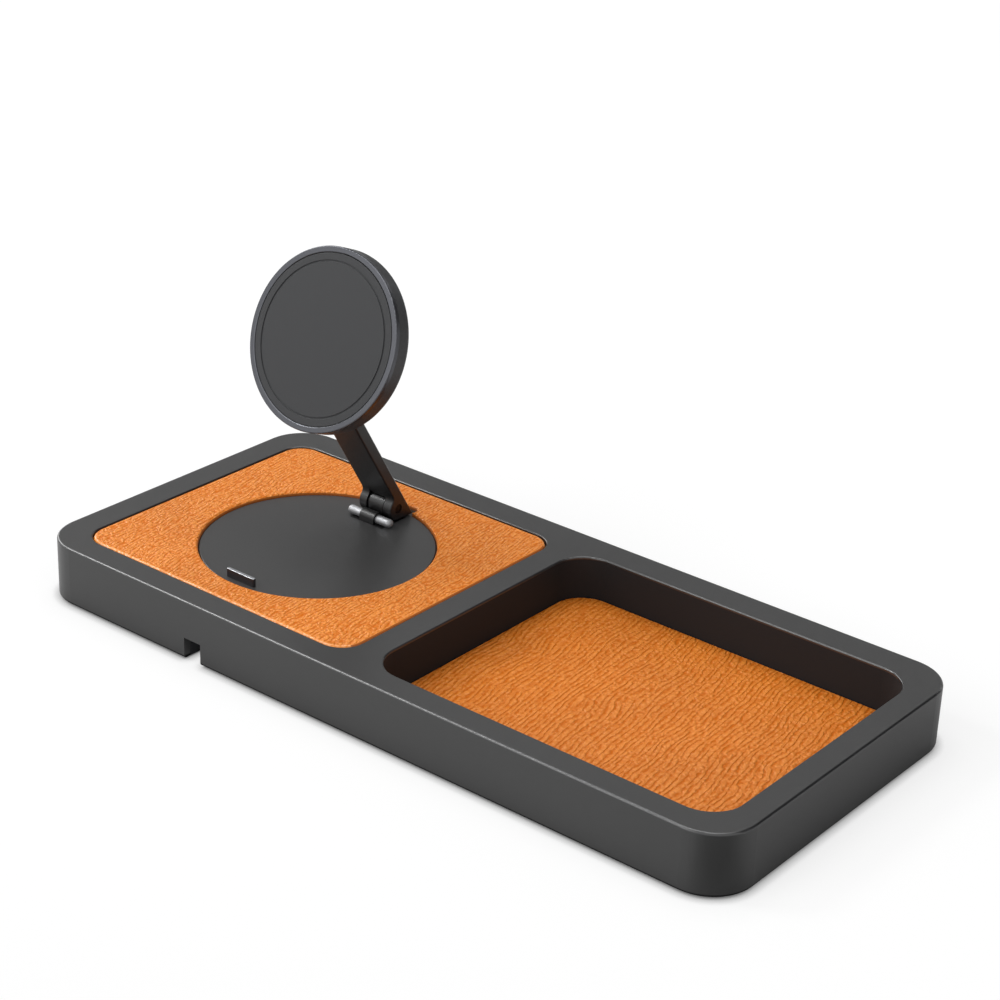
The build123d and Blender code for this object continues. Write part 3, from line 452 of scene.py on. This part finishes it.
def grainLeather(name, look):
    # full-grain cowhide, drum dyed and shrunk: long soft creases that sway, fork and fade, with
    # # fine pebbles between them; darker in the creases and lighter on the raised grain, partly dye
    # and partly painted shade and highlight
    material, tree = startMaterial(name)
    place = addNode(tree, "ShaderNodeTexCoord").outputs["Object"]
    inMm = addNode(tree, "ShaderNodeMapping", inputs={
        "Vector": place, "Scale": (perMetre, perMetre, perMetre),
        "Rotation": (0, 0, math.radians(-look["grainTurn"]))})
    spot = inMm.outputs["Vector"]

    # creases: a wave across the grain, pushed along by three sizes of drift
    axes = addNode(tree, "ShaderNodeSeparateXYZ", inputs={"Vector": spot})
    turns = addNode(tree, "ShaderNodeMath", {"operation": "DIVIDE"}, {
        0: axes.outputs["X"], 1: look["creaseMm"]})
    swayAt = addNode(tree, "ShaderNodeVectorMath", {"operation": "SCALE"}, {
        0: spot, "Scale": 1 / look["swayMm"]})
    forkAt = addNode(tree, "ShaderNodeMapping", inputs={
        "Vector": spot, "Scale": (1 / look["forkMm"][0], 1 / look["forkMm"][1], 1)})
    rippleAt = addNode(tree, "ShaderNodeVectorMath", {"operation": "SCALE"}, {
        0: spot, "Scale": 1 / look["rippleMm"]})
    drifts = ((swayAt, 1.0, "swayTurns"), (forkAt, 2.0, "forkTurns"),
              (rippleAt, 2.0, "rippleTurns"))
    for at, detail, most in drifts:
        drift = addNode(tree, "ShaderNodeTexNoise", inputs={
            "Vector": at.outputs["Vector"], "Scale": 1.0, "Detail": detail})
        turns = addNode(tree, "ShaderNodeMath", {"operation": "MULTIPLY_ADD"}, {
            0: drift.outputs["Fac"], 1: look[most], 2: turns.outputs["Value"]})
    angle = addNode(tree, "ShaderNodeMath", {"operation": "MULTIPLY"}, {
        0: turns.outputs["Value"], 1: 2 * math.pi})
    wave = addNode(tree, "ShaderNodeMath", {"operation": "SINE"}, {0: angle.outputs["Value"]})
    fold = addNode(tree, "ShaderNodeMapRange", {"interpolation_type": "SMOOTHSTEP"}, {
        "Value": wave.outputs["Value"],
        "From Min": look["creaseRise"][0], "From Max": look["creaseRise"][1]})

    # pebbles: soft cells, longer along the grain
    overCells = addNode(tree, "ShaderNodeMapping", inputs={
        "Vector": spot, "Scale": (1, look["pebbleLong"], 1)})
    jitter = addNode(tree, "ShaderNodeTexNoise", inputs={
        "Vector": spot, "Scale": look["jitterScale"], "Detail": 1.0})
    jittered = addNode(tree, "ShaderNodeVectorMath", {"operation": "MULTIPLY_ADD"}, {
        0: jitter.outputs["Color"], 1: [look["jitterMm"]] * 3, 2: overCells.outputs["Vector"]})
    cells = addNode(tree, "ShaderNodeTexVoronoi", {"feature": "SMOOTH_F1"}, {
        "Vector": jittered.outputs["Vector"], "Scale": 1 / look["pebbleMm"],
        "Smoothness": look["pebbleSoft"]})
    pebble = addNode(tree, "ShaderNodeMapRange", {"interpolation_type": "SMOOTHSTEP"}, {
        "Value": cells.outputs["Distance"],
        "From Min": look["pebbleRise"][0], "From Max": look["pebbleRise"][1]})

    # the two are mixed by patches, and fine wrinkles lie over both
    fadeAt = addNode(tree, "ShaderNodeMapping", inputs={
        "Vector": spot, "Location": look["fadeFrom"],
        "Scale": (1 / look["fadeMm"][0], 1 / look["fadeMm"][1], 1)})
    fade = addNode(tree, "ShaderNodeTexNoise", inputs={
        "Vector": fadeAt.outputs["Vector"], "Scale": 1.0, "Detail": 1.0})
    share = addNode(tree, "ShaderNodeMapRange", inputs={
        "Value": fade.outputs["Fac"],
        "From Min": look["fadeBand"][0], "From Max": look["fadeBand"][1],
        "To Min": look["pebbleShare"][1], "To Max": look["pebbleShare"][0]})
    height = addNode(tree, "ShaderNodeMix", {"data_type": "FLOAT"}, {
        "Factor": share.outputs["Result"], "A": fold.outputs["Result"],
        "B": pebble.outputs["Result"]})
    fine = addNode(tree, "ShaderNodeTexNoise", inputs={
        "Vector": spot, "Scale": 1 / look["fineMm"], "Detail": 2.0})
    fullHeight = addNode(tree, "ShaderNodeMath", {"operation": "MULTIPLY_ADD"}, {
        0: fine.outputs["Fac"], 1: look["fineShare"], 2: height.outputs["Result"]})

    # the colour follows the grain's height: partly dye, partly painted highlight on the crowns and
    # painted shade in the creases
    dyeAndShade = addNode(tree, "ShaderNodeMix", {"data_type": "RGBA"}, {
        "Factor": height.outputs["Result"], "A": srgb(look["hollow"]), "B": srgb(look["crown"])})
    hide = addNode(tree, "ShaderNodeTexNoise", inputs={
        "Vector": spot, "Scale": 1 / look["patchMm"], "Detail": 2.0})
    patch = addNode(tree, "ShaderNodeMapRange", inputs={
        "Value": hide.outputs["Fac"],
        "From Min": look["patchBand"][0], "From Max": look["patchBand"][1],
        "To Min": look["patchTone"][0], "To Max": look["patchTone"][1]})
    worn = addNode(tree, "ShaderNodeVectorMath", {"operation": "SCALE"}, {
        0: dyeAndShade.outputs["Result"], "Scale": patch.outputs["Result"]})
    rough = addNode(tree, "ShaderNodeMapRange", inputs={
        "Value": height.outputs["Result"], "To Min": look["roughness"] + look["hollowDuller"],
        "To Max": look["roughness"]})
    shine = addNode(tree, "ShaderNodeMapRange", inputs={
        "Value": height.outputs["Result"],
        "To Min": look["shineBand"][0] * look["shine"],
        "To Max": look["shineBand"][1] * look["shine"]})
    bump = addNode(tree, "ShaderNodeBump", inputs={
        "Height": fullHeight.outputs["Value"], "Strength": 1.0,
        "Distance": look["reliefMm"] / perMetre})
    shader = addNode(tree, "ShaderNodeBsdfPrincipled", inputs={
        "Base Color": worn.outputs["Vector"], "Roughness": rough.outputs["Result"],
        "IOR": 1.46, "Specular IOR Level": shine.outputs["Result"],
        "Normal": bump.outputs["Normal"]})
    addNode(tree, "ShaderNodeOutputMaterial", inputs={"Surface": shader.outputs["BSDF"]})
    return material


cutEdgeLook = {"colour": "#9a4c12", "fibreColour": "#c26c22", "fibreMm": 0.4, "roughness": 0.85,
               "reliefMm": 0.1, "reliefShare": 0.5}


def cutLeather(name, look):
    # the raw cut edge of the hide: darker, fibrous and quite dull
    material, tree = startMaterial(name)
    place = addNode(tree, "ShaderNodeTexCoord").outputs["Object"]
    fibre = addNode(tree, "ShaderNodeTexNoise", inputs={
        "Vector": place, "Scale": perMetre / look["fibreMm"], "Detail": 3.0})
    tone = addNode(tree, "ShaderNodeMix", {"data_type": "RGBA"}, {
        "Factor": fibre.outputs["Fac"], "A": srgb(look["colour"]),
        "B": srgb(look["fibreColour"])})
    bump = addNode(tree, "ShaderNodeBump", inputs={
        "Height": fibre.outputs["Fac"], "Strength": look["reliefShare"],
        "Distance": look["reliefMm"] / perMetre})
    shader = addNode(tree, "ShaderNodeBsdfPrincipled", inputs={
        "Base Color": tone.outputs["Result"], "Roughness": look["roughness"],
        "IOR": 1.46, "Normal": bump.outputs["Normal"]})
    addNode(tree, "ShaderNodeOutputMaterial", inputs={"Surface": shader.outputs["BSDF"]})
    return material


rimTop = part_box("tray_body")[1].z
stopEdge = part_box("phone_stop")[1].z - stopLook["millDepth"]

finishes = {
    "bodyAbs": trayAbs("mouldedAbsCharcoal", trayAbsLook, rimTop),
    # ABS from a blasted mould: duller than the tray
    "coverAbs": mouldedStock("mouldedAbsCover", colour="#343538", darker="#303134",
                             roughness=0.58, gritMm=0.5),
    # ABS from a finely spark-textured mould: even and satin
    "standAbs": mouldedStock("mouldedAbsSatin", colour="#3c3c3c", darker="#393939",
                             roughness=0.36, gritMm=0.3),
    # die-cast arm, hinge and head shell, powder coated
    "armCoat": powderCoat("powderCoatBlack", colour="#0d0d0e", roughness=0.4),
    "hingeCoat": powderCoat("powderCoatHinge", colour="#0b0b0c", roughness=0.4),
    "headCoat": powderCoat("powderCoatCharcoal", colour="#2b2c2e", roughness=0.48),
    # turned aluminium, anodised dark: a soft metallic gleam round the head
    "ringMetal": turnedMetal("anodisedAluminiumDark", colour="#55565a", roughness=0.32,
                             lineMm=0.05, axis=1),
    # ground steel bar, satin: light grey, with a wide soft highlight
    "barSteel": turnedMetal("satinSteelBar", colour="#9b9c9e", roughness=0.55,
                            lineMm=0.08, axis=0),
    # turned steel, black oxide: deep grey with an oily gleam
    "pinSteel": turnedMetal("blackOxideSteelPin", colour="#252526", roughness=0.4,
                            lineMm=0.06, axis=0),
    # turned screws, black zinc plated: dark, with bright edges
    "screwSteel": turnedMetal("blackZincScrew", colour="#45464a", roughness=0.38,
                              lineMm=0.1, axis=2),
    # stamped steel, zinc plated: pale and slightly cloudy
    "plateSteel": turnedMetal("zincPlatedSteel", colour="#a9aaa8", roughness=0.36,
                              lineMm=0.3, axis=0),
    # drawn steel shell of the socket: bright, with lines from the die
    "socketSteel": turnedMetal("drawnSteelSocket", colour="#b4b5b8", roughness=0.28,
                               lineMm=0.2, axis=1),
    # ground magnets, nickel plated: warm, nearly mirror bright
    "magnetNickel": turnedMetal("nickelPlatedMagnet", colour="#b7b3a8", roughness=0.22,
                                lineMm=0.2, axis=1),
    # wound copper wire under enamel: reddish, with fine lines
    "coilCopper": turnedMetal("enamelledCopperCoil", colour="#b36a3c", roughness=0.35,
                              lineMm=0.4, axis=0),
    # feet moulded in rubber: the dullest black
    "footRubber": softRubber("mouldedRubberFoot", colour="#1a1a1b", roughness=0.75),
    "stopMetal": stopAluminium("milledAluminiumStop", stopLook, stopEdge),
    # the soft face moulded in silicone, and the lead's extruded jacket, a little smoother
    "faceSilicone": softRubber("siliconeFace", colour="#27282a", roughness=0.62),
    "leadRubber": softRubber("extrudedLeadJacket", colour="#151516", roughness=0.55),
    # nylon sheet, punched: black and a little waxy
    "nylon": mouldedStock("punchedNylonWasher", colour="#1f1f20", darker="#1c1c1d",
                          roughness=0.5, gritMm=0.3),
    # sintered ferrite: nearly black, dull and grainy
    "ferrite": mouldedStock("sinteredFerrite", colour="#26262a", darker="#202024",
                            roughness=0.6, gritMm=0.4),
    # hot-pressed fibre board: brown and flat, with a coarse fleck
    "fibreBoard": mouldedStock("pressedFibreBoard", colour="#75685a", darker="#685c50",
                               roughness=0.85, gritMm=0.9),
    # glass-fibre laminate under solder mask: green and glossy
    "boardLaminate": mouldedStock("solderMaskLaminate", colour="#1d4a30", darker="#1a432b",
                                  roughness=0.35, gritMm=0.6),
    # moulded resin of the chips: black and satin
    "chipResin": mouldedStock("mouldedChipResin", colour="#161617", darker="#131314",
                              roughness=0.5, gritMm=0.3),
    "leather": grainLeather("fullGrainTanLeather", tanLeatherLook),
    "padHide": grainLeather("stretchedTanLeather", padHideLook),
    "rolledHide": grainLeather("rolledTanLeather", rolledHideLook),
    # the cut edge's finish, also laid on the ends of the pad's fold as painted shade
    "cutEdgeAndShade": cutLeather("cutLeatherEdgeAndShade", cutEdgeLook),
}

nodeFinish = {
    "tray_body": "bodyAbs", "bottom_cover": "coverAbs", "cover_screws": "screwSteel",
    "rubber_feet": "footRubber", "panel_board": "fibreBoard", "panel_leather": "padHide",
    "well_board": "fibreBoard", "well_leather": "leather",
    "stand_base": "standAbs", "phone_stop": "stopMetal", "clamp_ring": "plateSteel",
    "clamp_screws": "screwSteel", "hinge_bracket": "hingeCoat", "hinge_screws": "screwSteel",
    "hinge_bar": "barSteel",
    "arm": "armCoat", "arm_cover": "nylon", "coil_lead": "leadRubber",
    "base_hinge_pin": "pinSteel", "head_hinge_pin": "pinSteel",
    "base_hinge_washers": "nylon", "head_hinge_washers": "nylon",
    "head_shell": "headCoat", "head_ring": "ringMetal", "face_plate": "standAbs",
    "face_pad": "faceSilicone", "ring_magnets": "magnetNickel", "shield_plate": "ferrite",
    "charging_coil": "coilCopper",
    "control_board": "boardLaminate", "board_components": "chipResin",
    "board_screws": "screwSteel", "usb_socket": "socketSteel", "socket_tongue": "chipResin",
}
for name, part in nodes.items():
    part.data.materials.clear()
    part.data.materials.append(finishes[nodeFinish[name]])
print("finishes given to", len(nodeFinish), "nodes")


padLeather = {
    "cornerRadius": 0.00775,   # the corners of the recess, less the gap round the pad
    "cornerSteps": 10,
    "roll": 0.0011,            # the leather is turned over the board's edge
    "rollSteps": 8,
    "holeRadius": 0.0373,
    "holeSteps": 160,
    "notchWidth": 0.0141,      # room for the arm's heel behind the round plate
    "notchBack": 0.0403,       # from the middle of the round plate
    "notchCorner": 0.0018,
    "notchMouth": 0.0012,      # the notch opens softly into the round cut-out
    "notchSteps": 6,
    "cutterHeight": 0.01,
    "cutRound": 0.001,
    "cutSteps": 5,
    "outlineFrom": 0.0411,     # what lies further from the plate's middle is the outer outline
    "shortEdge": 0.0025,       # the round cut-out's edges are shorter than this
    "backGap": 0.0003,         # the seam at the back is a little wider, and shows as a dark line
    "steep": 0.5,              # a face counts as a wall under this share of upright
    "level": 0.99,             # and as the top over this one
    "shadedEnd": (0.3, 2.0),      # an end of the fold, painted as shade in the cut edge's colour, turns sideways by this, and by so many times more
}


def makeRoundedSlab(lowest, highest, radius, steps):
    middle, size = (lowest + highest) / 2, highest - lowest
    bpy.ops.mesh.primitive_cube_add(size=1, location=middle)
    slab = bpy.context.object
    slab.scale = size
    bpy.ops.object.transform_apply(location=True, rotation=True, scale=True)
    pickEdges(slab, lambda a, b: abs(a.z - b.z) > size.z / 2)
    roundPicked(radius, steps)
    return slab


def cutAway(piece, cutter):
    pickOnly(piece)
    applyModifier(piece, "BOOLEAN", operation="DIFFERENCE", object=cutter, solver="EXACT")
    bpy.data.objects.remove(cutter)


def makePadLeather(look):
    clearSelection()
    lowest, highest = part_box("panel_leather")
    highest.y -= look["backGap"]
    pad = makeRoundedSlab(lowest, highest, look["cornerRadius"], look["cornerSteps"])
    pad.name = "padLeather"
    centre = Vector((standCentre.x, standCentre.y, (lowest.z + highest.z) / 2))

    # the round cut-out, and the notch behind it
    bpy.ops.mesh.primitive_cylinder_add(vertices=look["holeSteps"], radius=look["holeRadius"],
                                        depth=look["cutterHeight"], location=centre)
    cutAway(pad, bpy.context.object)
    bpy.ops.mesh.primitive_cube_add(size=1, location=centre + Vector((0, look["notchBack"] / 2, 0)))
    notch = bpy.context.object
    notch.scale = (look["notchWidth"], look["notchBack"], look["cutterHeight"])
    bpy.ops.object.transform_apply(location=True, rotation=True, scale=True)
    pickEdges(notch, lambda a, b: abs(a.z - b.z) > look["cutterHeight"] / 2)
    roundPicked(look["notchCorner"], look["notchSteps"])
    cutAway(pad, notch)
    pickOnly(pad)

    top, thick = highest.z, highest.z - lowest.z
    halfWide = look["notchWidth"] / 2
    mouth = math.sqrt(look["holeRadius"] ** 2 - halfWide ** 2)

    def reach(point):
        return (point - centre).to_2d().length

    def onTop(a, b):
        return a.z > top - slack and b.z > top - slack

    def atMouth(a, b):
        # the two upright edges where the notch meets the round cut-out
        upright = abs(a.z - b.z) > thick / 2
        offSide = abs(abs(a.x - centre.x) - halfWide)
        offMouth = abs(a.y - centre.y - mouth)
        return upright and max(offSide, offMouth) < 10 * slack

    def onOutline(a, b):
        return onTop(a, b) and min(reach(a), reach(b)) > look["outlineFrom"]

    def onCutOut(a, b):
        # the cut-out's short steps, and the notch's own straight sides
        inside = max(reach(a), reach(b)) < look["outlineFrom"]
        straight = abs(a.x - b.x) < slack or abs(a.y - b.y) < slack
        return onTop(a, b) and inside and (straight or (a - b).length < look["shortEdge"])

    pickEdges(pad, atMouth)
    roundPicked(look["notchMouth"], look["notchSteps"])
    pickEdges(pad, onOutline)
    roundPicked(look["roll"], look["rollSteps"])
    pickEdges(pad, onCutOut)
    roundPicked(look["cutRound"], look["cutSteps"])
    smoothPiece(pad)

    for finish in ("padHide", "cutEdgeAndShade", "rolledHide"):
        pad.data.materials.append(finishes[finish])
    for face in pad.data.polygons:
        inside = reach(face.center) < look["notchBack"] + look["cutRound"]
        if inside and abs(face.normal.z) < look["steep"]:
            face.material_index = 1
        elif not inside and face.normal.z < look["level"]:
            # the two ends of the fold take the cut edge's darker finish as painted shade, front and
            # back are burnished
            least, timesMore = look["shadedEnd"]
            endwise = abs(face.normal.x) > max(least, timesMore * abs(face.normal.y))
            face.material_index = 1 if endwise else 2
    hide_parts("panel_leather")
    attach(pad, "tray")
    return pad


padPiece = makePadLeather(padLeather)
print("pad leather:", len(padPiece.data.polygons), "faces")


wellLeather = {"cornerRadius": 0.0106, "cornerSteps": 14, "edgeRound": 0.0004, "edgeSteps": 3}


def makeWellLeather(look):
    clearSelection()
    lowest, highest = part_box("well_leather")
    lining = makeRoundedSlab(lowest, highest, look["cornerRadius"], look["cornerSteps"])
    lining.name = "wellLeather"
    top = highest.z
    pickEdges(lining, lambda a, b: a.z > top - slack and b.z > top - slack)
    roundPicked(look["edgeRound"], look["edgeSteps"])
    smoothPiece(lining)
    lining.data.materials.append(finishes["leather"])
    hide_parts("well_leather")
    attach(lining, "tray")
    return lining


liningPiece = makeWellLeather(wellLeather)
print("well lining:", len(liningPiece.data.polygons), "faces")


facePad = {
    "radius": 0.0264,
    "steps": 128,
    "lean": 68.0,            # degrees from level, as the head stands
    "grooveAt": 0.0022,      # a fine groove runs round the face, this far from its rim
    "grooveWide": 0.0006,
    "grooveDeep": 0.0003,
    "edgeRound": 0.0001,
    "edgeSteps": 2,
    "edgeAngle": 40.0,       # degrees: sharper corners are rounded
    "level": 0.99,           # a face counts as the front over this share of straight ahead
}


def makeFacePad(look):
    clearSelection()
    lowest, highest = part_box("face_pad")
    middle = (lowest + highest) / 2
    tilt = math.radians(look["lean"])
    normal = Vector((0, -math.sin(tilt), math.cos(tilt)))
    depth = ((highest.y - lowest.y) - 2 * look["radius"] * math.cos(tilt)) / math.sin(tilt)
    bpy.ops.mesh.primitive_cylinder_add(vertices=look["steps"], radius=look["radius"],
                                        depth=depth, location=middle, rotation=(tilt, 0, 0))
    pad = bpy.context.object
    pad.name = "siliconeFace"
    bpy.ops.object.transform_apply(location=True, rotation=True, scale=True)
    bpy.ops.object.mode_set(mode="EDIT")
    bpy.ops.mesh.select_mode(type="FACE")
    bpy.ops.mesh.select_all(action="DESELECT")
    bpy.ops.object.mode_set(mode="OBJECT")
    for face in pad.data.polygons:
        face.select = face.normal.dot(normal) > look["level"]
    bpy.ops.object.mode_set(mode="EDIT")
    bpy.ops.mesh.inset(thickness=look["grooveAt"])       # rim of the face
    bpy.ops.mesh.inset(thickness=look["grooveWide"])     # the ring just made is the groove's floor
    bpy.ops.object.mode_set(mode="OBJECT")
    outer = look["radius"] - look["grooveAt"]
    inner = outer - look["grooveWide"]
    faceCentre = middle + normal * depth / 2
    for face in pad.data.polygons:
        spread = (face.center - faceCentre).length
        face.select = face.normal.dot(normal) > look["level"] and inner < spread < outer
    bpy.ops.object.mode_set(mode="EDIT")
    bpy.ops.mesh.extrude_region_shrink_fatten(
        TRANSFORM_OT_shrink_fatten={"value": -look["grooveDeep"]})
    bpy.ops.object.mode_set(mode="OBJECT")
    applyModifier(pad, "BEVEL", width=look["edgeRound"], segments=look["edgeSteps"],
                  limit_method="ANGLE", angle_limit=math.radians(look["edgeAngle"]))
    smoothPiece(pad)
    pad.data.materials.append(finishes["faceSilicone"])
    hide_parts("face_pad")
    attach(pad, "head")
    return pad


facePiece = makeFacePad(facePad)
print("silicone face:", len(facePiece.data.polygons), "faces")


studio = {
    "floorSize": 6.0,
    "floorGlow": 0.73,         # share of plain white that the camera sees on the floor
    "floorPaint": "#9a9a9a",   # the rest of what it sees, which takes the wide soft shadow
    "floorBounce": "#f0f0f0",  # the paper as it lights the object
    "clothBounce": "#cacaca",  # grey cloth on the paper's right, as it lights the object
    "clothFrom": 0.118,        # where the cloth starts, along the tray
    "clothBlend": 0.012,
    "cardBounce": "#6a6a6a",   # and a darker card beside the tray's front right corner
    "cardPlace": (0.150, -0.076, 0),
    "cardReach": (0.016, 0.036),
    "contactReach": 0.003,     # the painted contact shadow, taken from occlusion, fades over this distance
    "contactRays": 8,
    "clearOver": (0.5, 1.3),   # further out the paper clears to plain white, so it has no far edge
    "skyLevel": 0.5,           # the white sky, as it lights the object
}


def makeFloor():
    clearSelection()
    bpy.ops.mesh.primitive_plane_add(size=studio["floorSize"], location=(0, 0, 0))
    floor = bpy.context.object
    floor.name = "studioFloor"
    # seamless paper: white to the eye, and it keeps the soft shadow
    material, tree = startMaterial("seamlessPaper")
    ray = addNode(tree, "ShaderNodeLightPath")
    paint = addNode(tree, "ShaderNodeBsdfDiffuse", inputs={
        "Color": srgb(studio["floorPaint"]), "Roughness": 1.0})
    # painted contact shadow: the floor's glow darkens where the object is near
    contact = addNode(tree, "ShaderNodeAmbientOcclusion", {"samples": studio["contactRays"]}, {
        "Distance": studio["contactReach"]})
    glow = addNode(tree, "ShaderNodeEmission", inputs={
        "Color": contact.outputs["Color"], "Strength": studio["floorGlow"]})
    seen = addNode(tree, "ShaderNodeAddShader", inputs={
        0: paint.outputs["BSDF"], 1: glow.outputs["Emission"]})

    # what lies round the tray, as it lights the object: paper, cloth and card
    place = addNode(tree, "ShaderNodeTexCoord").outputs["Object"]
    axes = addNode(tree, "ShaderNodeSeparateXYZ", inputs={"Vector": place})
    onCloth = addNode(tree, "ShaderNodeMapRange", inputs={
        "Value": axes.outputs["X"], "From Min": studio["clothFrom"],
        "From Max": studio["clothFrom"] + studio["clothBlend"]})
    cloth = addNode(tree, "ShaderNodeMix", {"data_type": "RGBA"}, {
        "Factor": onCloth.outputs["Result"], "A": srgb(studio["floorBounce"]),
        "B": srgb(studio["clothBounce"])})
    fromCard = addNode(tree, "ShaderNodeVectorMath", {"operation": "DISTANCE"}, {
        0: place, 1: studio["cardPlace"]})
    offCard = addNode(tree, "ShaderNodeMapRange", inputs={
        "Value": fromCard.outputs["Value"],
        "From Min": studio["cardReach"][0], "From Max": studio["cardReach"][1]})
    card = addNode(tree, "ShaderNodeMix", {"data_type": "RGBA"}, {
        "Factor": offCard.outputs["Result"], "A": srgb(studio["cardBounce"]),
        "B": cloth.outputs["Result"]})
    bounce = addNode(tree, "ShaderNodeBsdfDiffuse", inputs={
        "Color": card.outputs["Result"], "Roughness": 1.0})

    outward = addNode(tree, "ShaderNodeVectorMath", {"operation": "LENGTH"}, {0: place})
    clearing = addNode(tree, "ShaderNodeMapRange", {"interpolation_type": "SMOOTHSTEP"}, {
        "Value": outward.outputs["Value"],
        "From Min": studio["clearOver"][0], "From Max": studio["clearOver"][1]})
    white = addNode(tree, "ShaderNodeEmission", inputs={"Strength": 1.0})
    cleared = addNode(tree, "ShaderNodeMixShader", inputs={
        0: clearing.outputs["Result"], 1: seen.outputs["Shader"], 2: white.outputs["Emission"]})
    shown = addNode(tree, "ShaderNodeMath", {"operation": "MAXIMUM"}, {
        0: ray.outputs["Is Camera Ray"], 1: ray.outputs["Is Transmission Ray"]})
    mix = addNode(tree, "ShaderNodeMixShader", inputs={
        0: shown.outputs["Value"], 1: bounce.outputs["BSDF"], 2: cleared.outputs["Shader"]})
    addNode(tree, "ShaderNodeOutputMaterial", inputs={"Surface": mix.outputs["Shader"]})
    floor.data.materials.append(material)


def makeSky():
    # full white to the camera and in the sheen, and at half level as a light
    world = bpy.data.worlds.new("studioSky")
    bpy.context.scene.world = world
    world.use_nodes = True
    tree = world.node_tree
    tree.nodes.clear()
    ray = addNode(tree, "ShaderNodeLightPath")
    shown = ray.outputs["Is Camera Ray"]
    for kind in ("Is Glossy Ray", "Is Transmission Ray"):
        either = addNode(tree, "ShaderNodeMath", {"operation": "MAXIMUM"}, {
            0: shown, 1: ray.outputs[kind]})
        shown = either.outputs["Value"]
    level = addNode(tree, "ShaderNodeMapRange", inputs={
        "Value": shown, "To Min": studio["skyLevel"], "To Max": 1.0})
    sky = addNode(tree, "ShaderNodeBackground", inputs={
        "Color": (1, 1, 1, 1), "Strength": level.outputs["Result"]})
    addNode(tree, "ShaderNodeOutputWorld", inputs={"Surface": sky.outputs["Background"]})


# three soft boxes light the object; the strip on the left shows in the sheen alone, and draws the
# bright line on the tray's front edge and round its left corner
lamps = {
    "edgeSoftbox": {"place": (-1.05, -0.6, 1.1), "size": 0.33, "power": 5.5},
    "frontSoftbox": {"place": (-0.5, -1.3, 0.8), "size": 1.0, "power": 5.5},
    "topSoftbox": {"place": (-0.3, 0.22, 1.6), "size": 1.1, "power": 10.6},
    "edgeStrip": {"place": (-0.97, -0.075, 0.63), "size": 0.3, "long": 1.4, "roll": -52.6,
                  "power": 7.0, "sheenOnly": True},
}
# cards that show in the sheen alone: a black one behind on the right draws the dark line on the
# right edge, and a pale one behind on the left keeps the flat tops from mirroring plain white
cards = {
    "blackFlag": {"place": (0.55, 0.85, 0.75), "size": 1.4, "colour": "#0a0a0a"},
    "paleCard": {"place": (-1.1, 1.05, 0.85), "size": 2.4, "colour": "#cacaca"},
}
studioAim = Vector((0, 0, 0.02))   # lamps and cards face the tray's middle


def turnToTray(place):
    return (studioAim - Vector(place)).to_track_quat("-Z", "Y")


def makeLamps():
    for name, lamp in lamps.items():
        roll = Quaternion((0, 0, 1), math.radians(lamp.get("roll", 0)))
        turn = turnToTray(lamp["place"]) @ roll
        bpy.ops.object.light_add(type="AREA", location=lamp["place"], rotation=turn.to_euler())
        light = bpy.context.object
        light.name = name
        light.data.shape = "RECTANGLE"
        light.data.size = lamp["size"]
        light.data.size_y = lamp.get("long", lamp["size"])
        light.data.energy = lamp["power"]
        light.visible_diffuse = not lamp.get("sheenOnly", False)


def makeCards():
    for name, card in cards.items():
        clearSelection()
        bpy.ops.mesh.primitive_plane_add(size=card["size"], location=card["place"],
                                         rotation=turnToTray(card["place"]).to_euler())
        panel = bpy.context.object
        panel.name = name
        panel.visible_camera = panel.visible_diffuse = panel.visible_shadow = False
        # board covered in felt, quite matt
        material, tree = startMaterial(name + "Felt")
        felt = addNode(tree, "ShaderNodeBsdfDiffuse", inputs={
            "Color": srgb(card["colour"]), "Roughness": 1.0})
        addNode(tree, "ShaderNodeOutputMaterial", inputs={"Surface": felt.outputs["BSDF"]})
        panel.data.materials.append(material)


viewpoint = {
    "place": (0.40259, -0.50371, 0.35724),
    "turn": (64.822, -2.087, 39.207),   # degrees
    "lens": 87.41,                      # millimetres
    "sensor": 36,
    "nearest": 0.01,
}


def makeCamera():
    bpy.ops.object.camera_add(location=viewpoint["place"],
                              rotation=[math.radians(a) for a in viewpoint["turn"]])
    camera = bpy.context.object
    camera.data.lens = viewpoint["lens"]
    camera.data.sensor_width = viewpoint["sensor"]
    camera.data.clip_start = viewpoint["nearest"]
    bpy.context.scene.camera = camera


clearSelection()
makeFloor()
makeSky()
makeLamps()
makeCards()
makeCamera()
bpy.context.scene.view_settings.view_transform = "Standard"
print("studio set up")
